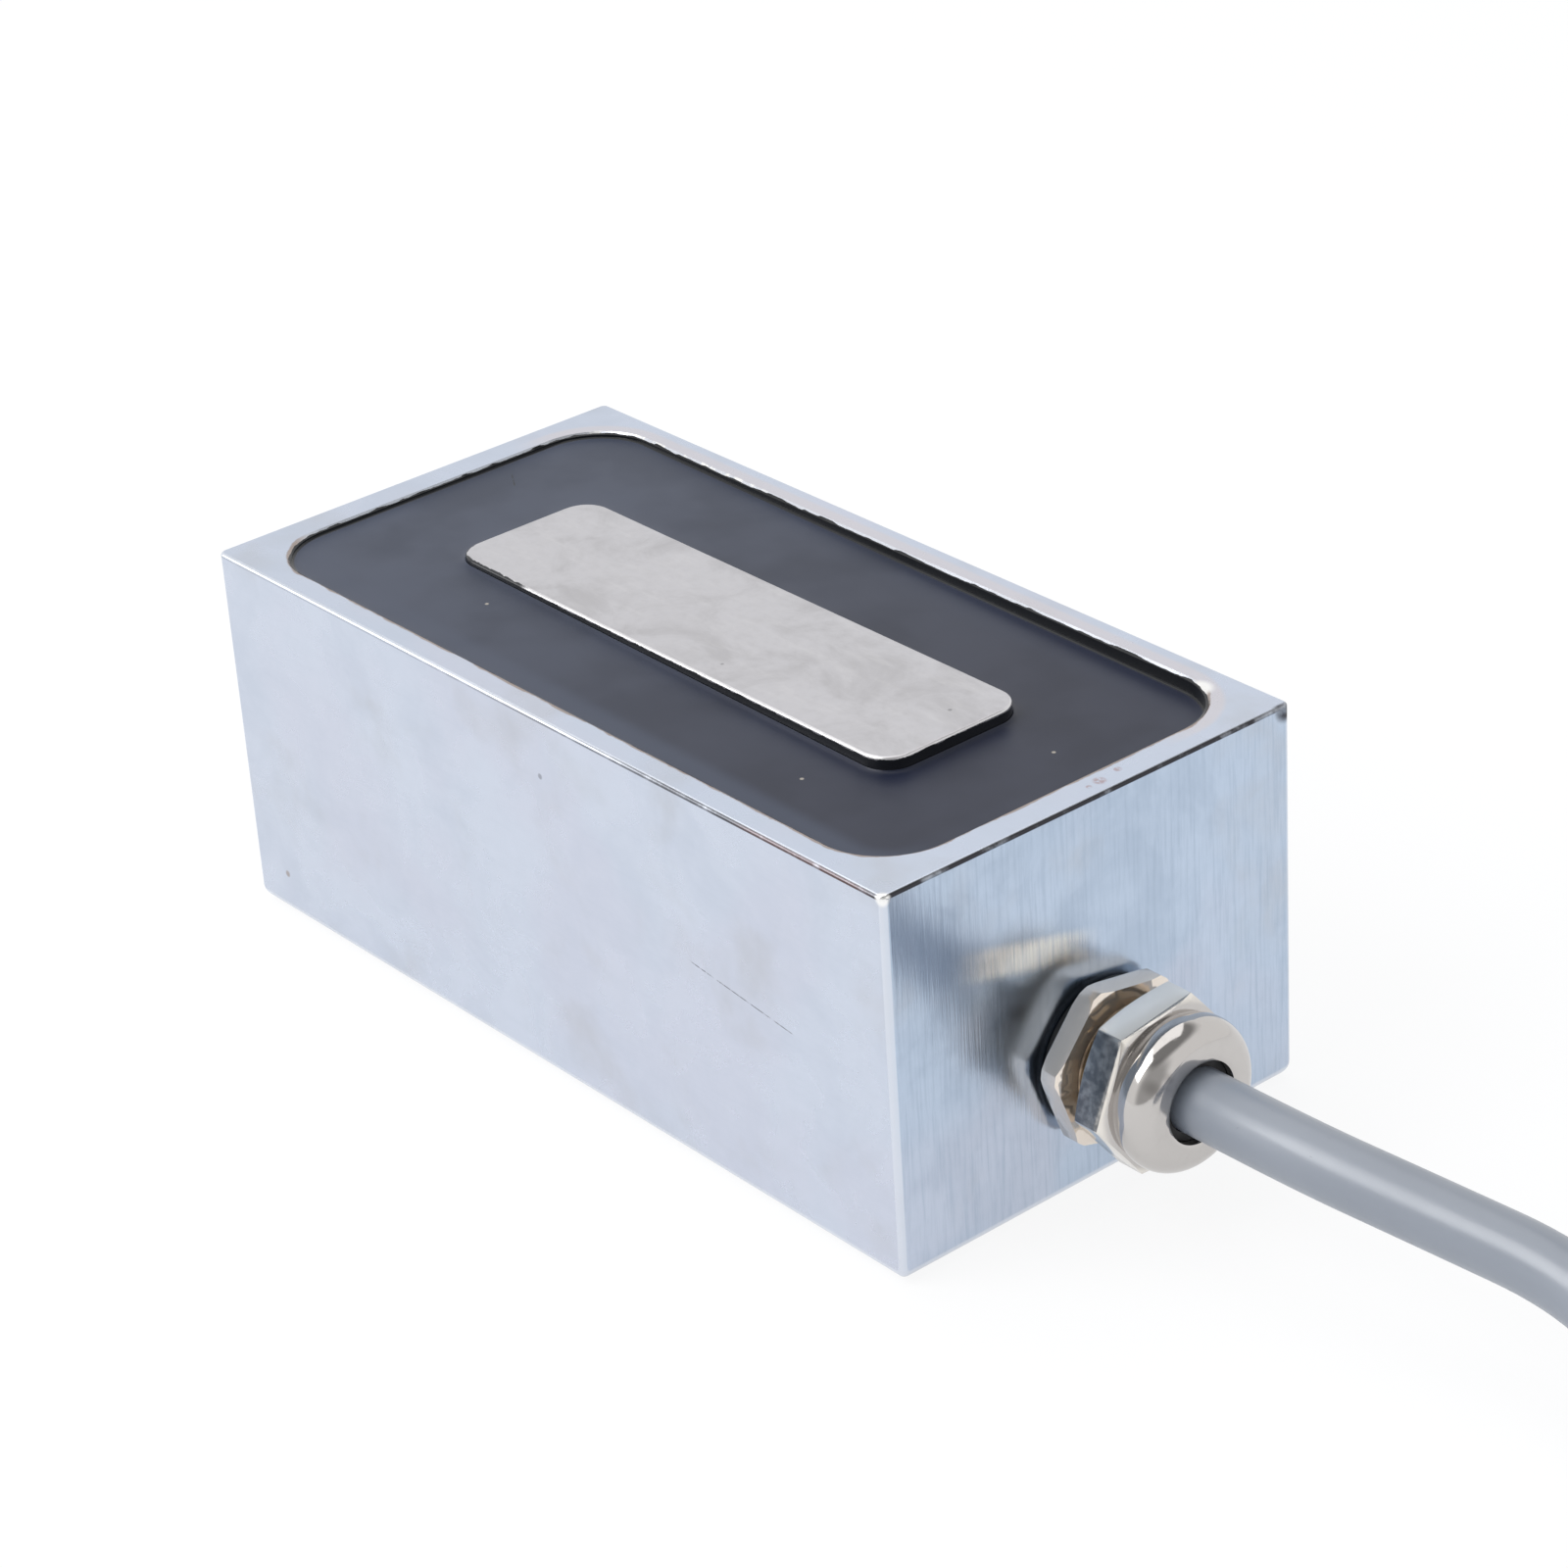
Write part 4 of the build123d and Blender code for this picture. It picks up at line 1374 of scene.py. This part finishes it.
@dataclass
class ResinFill:
    """The skin of the cast resin: nearly flat, with a raised rim where it wets the walls and the pole bar."""

    pocket: Outline = POCKET
    pole: Outline = POLE
    level: float = 45.95
    fall: float = 1.3
    skin: float = 0.10
    # Width and rise of each step of the wetted edge, from the wall outwards
    rises: tuple[tuple[float, float], ...] = (
        (0.12, 0.13),
        (0.2, 0.11),
        (0.3, 0.08),
        (0.45, 0.05),
        (0.7, 0.03),
        (1.0, 0.02),
    )
    corner_steps: int = 14
    strip_cuts: int = 8
    length_cuts: int = 23
    long_edge: float = 8.0
    soft_turn: float = 50.0

    def wetted_edge(self, name: str, size: Outline, inwards: bool) -> bpy.types.Object:
        """The raised edge around an outline, drawn by insetting and lowering its face.

        Args:
            name: the piece's name.
            size: the outline's length, width and corner radius, in millimetres.
            inwards: the resin lies inside the outline.

        Returns:
            The new piece, an open ring.
        """
        top = self.level + sum(drop for _, drop in self.rises)
        widths = [width for width, _ in self.rises]
        drops = [drop for _, drop in self.rises]
        reach = sum(widths)
        if inwards:
            obj = rounded_outline(name, *size, self.corner_steps, top)
            steps = list(zip(widths, drops))
        else:
            length, width, corner = size
            outline = (length + 2 * reach, width + 2 * reach, corner + reach)
            obj = rounded_outline(name, *outline, self.corner_steps, self.level)
            steps = [(width, -drop) for width, drop in zip(reversed(widths), reversed(drops))]
        activate(obj)
        bpy.ops.object.mode_set(mode="EDIT")
        bpy.ops.mesh.select_mode(type="FACE")
        bpy.ops.mesh.select_all(action="SELECT")
        for width, drop in steps:
            bpy.ops.mesh.inset(thickness=width * MM, depth=0)
            bpy.ops.transform.translate(value=(0, 0, -drop * MM))
        bpy.ops.mesh.delete(type="FACE")
        deselect()
        return obj

    def build(self, wardrobe: Wardrobe) -> bpy.types.Object:
        """Build the skin.

        Args:
            wardrobe: where the finish comes from.

        Returns:
            The new piece.
        """
        skin = self.wetted_edge("resin_skin", self.pocket, True)
        inner = self.wetted_edge("resin_skin_inner", self.pole, False)
        deselect()
        inner.select_set(True)
        skin.select_set(True)
        bpy.context.view_layer.objects.active = skin
        bpy.ops.object.join()
        flat = self.level * MM
        choose_edges(skin, lambda *ends: all(abs(end.z - flat) < 0.002 * MM for end in ends))
        bpy.ops.mesh.bridge_edge_loops(number_cuts=self.strip_cuts, interpolation="LINEAR", smoothness=0.0)
        choose_long_edges(skin, self.long_edge)
        bpy.ops.mesh.subdivide(number_cuts=self.length_cuts)
        deselect()
        slope = self.fall / self.pocket[0]
        for vertex in skin.data.vertices:
            vertex.co.z -= vertex.co.x * slope
        solid = skin.modifiers.new("skin_thickness", "SOLIDIFY")
        solid.thickness = self.skin * MM
        solid.offset = 1.0
        apply_modifiers(skin)
        face_outwards(skin)
        shade(skin, self.soft_turn)
        return wardrobe.settle(skin, Slot.RESIN)


@dataclass
class WallFilm:
    """The black resin film that coats the pocket's wall up to a ragged edge at the rim."""

    pocket: Outline = POCKET
    top: float = 47.44
    bend: float = 47.16
    foot: float = 44.6
    lean: float = 0.26
    thickness: float = 0.12
    ragged: float = 0.42
    corner_steps: int = 16
    length_cuts: int = 90
    long_edge: float = 8.0
    tear_size: float = 2.2
    soft_turn: float = 50.0

    def build(self, wardrobe: Wardrobe) -> bpy.types.Object:
        """Build the film.

        Args:
            wardrobe: where the finish comes from.

        Returns:
            The new piece.
        """
        length, width, corner = self.pocket
        mouth = (length + 2 * self.lean, width + 2 * self.lean, corner + self.lean)
        film = rounded_outline("wall_film", *mouth, self.corner_steps, self.top)
        activate(film)
        bpy.ops.object.mode_set(mode="EDIT")
        bpy.ops.mesh.select_mode(type="EDGE")
        bpy.ops.mesh.select_all(action="SELECT")
        bpy.ops.mesh.delete(type="ONLY_FACE")
        choose_long_edges(film, self.long_edge)
        bpy.ops.mesh.subdivide(number_cuts=self.length_cuts)
        bpy.ops.mesh.select_all(action="SELECT")
        bpy.ops.mesh.extrude_edges_move(TRANSFORM_OT_translate={"value": (0, 0, (self.bend - self.top) * MM)})
        narrower = (length / (length + 2 * self.lean), width / (width + 2 * self.lean), 1)
        bpy.ops.transform.resize(value=narrower, center_override=(0, 0, 0))
        bpy.ops.mesh.extrude_edges_move(TRANSFORM_OT_translate={"value": (0, 0, (self.foot - self.bend) * MM)})
        deselect()
        edge_group = film.vertex_groups.new(name="ragged_edge")
        line = (self.top - 0.01) * MM
        edge_group.add([v.index for v in film.data.vertices if v.co.z > line], 1.0, "REPLACE")
        texture = bpy.data.textures.new("ragged_edge", "CLOUDS")
        texture.noise_scale = self.tear_size * MM
        texture.noise_depth = 4
        tear = film.modifiers.new("ragged_edge", "DISPLACE")
        tear.texture = texture
        tear.texture_coords = "LOCAL"
        tear.direction = "Z"
        tear.mid_level = 1.0
        tear.strength = self.ragged * MM
        tear.vertex_group = "ragged_edge"
        solid = film.modifiers.new("film_thickness", "SOLIDIFY")
        solid.thickness = self.thickness * MM
        solid.offset = -1.0
        apply_modifiers(film)
        face_outwards(film)
        shade(film, self.soft_turn)
        return wardrobe.settle(film, Slot.RESIN)


@dataclass
class Gland:
    """The metal parts of the cable gland: hexagon body, threaded neck and dome nut."""

    height: float = GLAND_HEIGHT
    flats: float = 18.0
    flange_ends: tuple[float, float] = (61.0, 63.7)
    nut_ends: tuple[float, float] = (66.1, 75.5)
    bead_middle: tuple[float, float] = (72.5, 5.9)
    bead_radius: float = 3.1
    bead_start: float = 125.0
    bead_arc: float = 145.2
    bead_steps: int = 26
    body_bevel: float = 0.09
    body_sharp: float = 28.0
    nut_bevel: float = 0.10
    nut_sharp: float = 24.0
    soft_turn: float = 30.0
    body_turn: float = 50.0
    nut_turn: float = 8.0
    thread_pitch: float = 1.5
    segments: int = 96

    def thread_profile(self, start: float, end: float, crest: float, root: float) -> list[tuple[float, float]]:
        """Ridges along a stretch of thread.

        Args:
            start: where it begins along X, in millimetres.
            end: where it ends.
            crest: the outer radius.
            root: the inner radius.

        Returns:
            The profile's points.
        """
        count = max(1, int((end - start) / self.thread_pitch))
        pitch = (end - start) / count
        points = []
        for i in range(count):
            at = start + i * pitch
            points += [(at, root), (at + pitch * 0.44, crest), (at + pitch * 0.56, crest)]
        return [*points, (end, root)]

    def build_body(self, wardrobe: Wardrobe) -> bpy.types.Object:
        """The gland's body: hexagon, threads, bore.

        Args:
            wardrobe: where the finish comes from.

        Returns:
            The new piece.
        """
        body = hexagon_bar("gland_hexagon_body", self.flange_ends, self.flats, self.body_turn, self.height)
        turned = turned_body(
            "flange_shape",
            [(61.0, 6.0), (61.0, 9.5), (61.2, 10.05), (63.35, 10.05), (63.7, 9.4), (63.7, 6.0)],
            self.height,
            self.segments,
        )
        combine(body, turned, "INTERSECT")
        thread = turned_body(
            "body_threads",
            [
                (53.0, 5.0),
                *self.thread_profile(53.0, 61.0, 8.0, 7.1),
                (61.0, 6.6),
                (63.7, 6.6),
                *self.thread_profile(63.7, 69.7, 7.3, 6.75),
                (69.7, 6.4),
                (63.2, 6.4),
                (63.2, 5.0),
            ],
            self.height,
            self.segments,
        )
        combine(body, thread, "UNION")
        bevel_edges(body, self.body_bevel, self.body_sharp)
        shade(body, self.soft_turn)
        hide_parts("gland_body")
        return wardrobe.settle(body, Slot.NICKEL)

    def build_nut(self, wardrobe: Wardrobe) -> bpy.types.Object:
        """The dome nut: flats, shoulder, groove and round bead at its mouth.

        Args:
            wardrobe: where the finish comes from.

        Returns:
            The new piece.
        """
        nut = hexagon_bar("gland_dome_nut", self.nut_ends, self.flats, self.nut_turn, self.height)
        along, out = self.bead_middle
        step = self.bead_arc / self.bead_steps
        angles = [math.radians(self.bead_start - i * step) for i in range(self.bead_steps + 1)]
        bead = [(along + self.bead_radius * math.cos(a), out + self.bead_radius * math.sin(a)) for a in angles]
        turned = turned_body(
            "nut_shape",
            [
                (66.1, 7.4),
                (66.1, 8.9),
                (66.65, 10.5),
                (69.95, 10.5),
                (70.6, 9.15),
                (70.68, 8.6),
                *bead,
                (75.0, 4.78),
                (73.4, 4.83),
                (69.9, 7.4),
            ],
            self.height,
            self.segments * 2,
        )
        combine(nut, turned, "INTERSECT")
        bevel_edges(nut, self.nut_bevel, self.nut_sharp)
        shade(nut, self.soft_turn)
        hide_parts("gland_nut")
        return wardrobe.settle(nut, Slot.NICKEL)

    def build(self, wardrobe: Wardrobe) -> None:
        """Build the gland's metal parts.

        Args:
            wardrobe: where the finish comes from.
        """
        self.build_body(wardrobe)
        self.build_nut(wardrobe)


def main() -> None:
    """Load the frame, dress it and build the pieces."""
    logging.basicConfig(level=logging.INFO, format="%(message)s")
    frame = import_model()
    nodes = frame["nodes"]
    Studio().build()
    wardrobe = Wardrobe()
    wardrobe.dress_nodes(nodes)
    Cable().build(wardrobe, nodes)
    ResinFill().build(wardrobe)
    WallFilm().build(wardrobe)
    Gland().build(wardrobe)


if __name__ == "__main__":
    main()
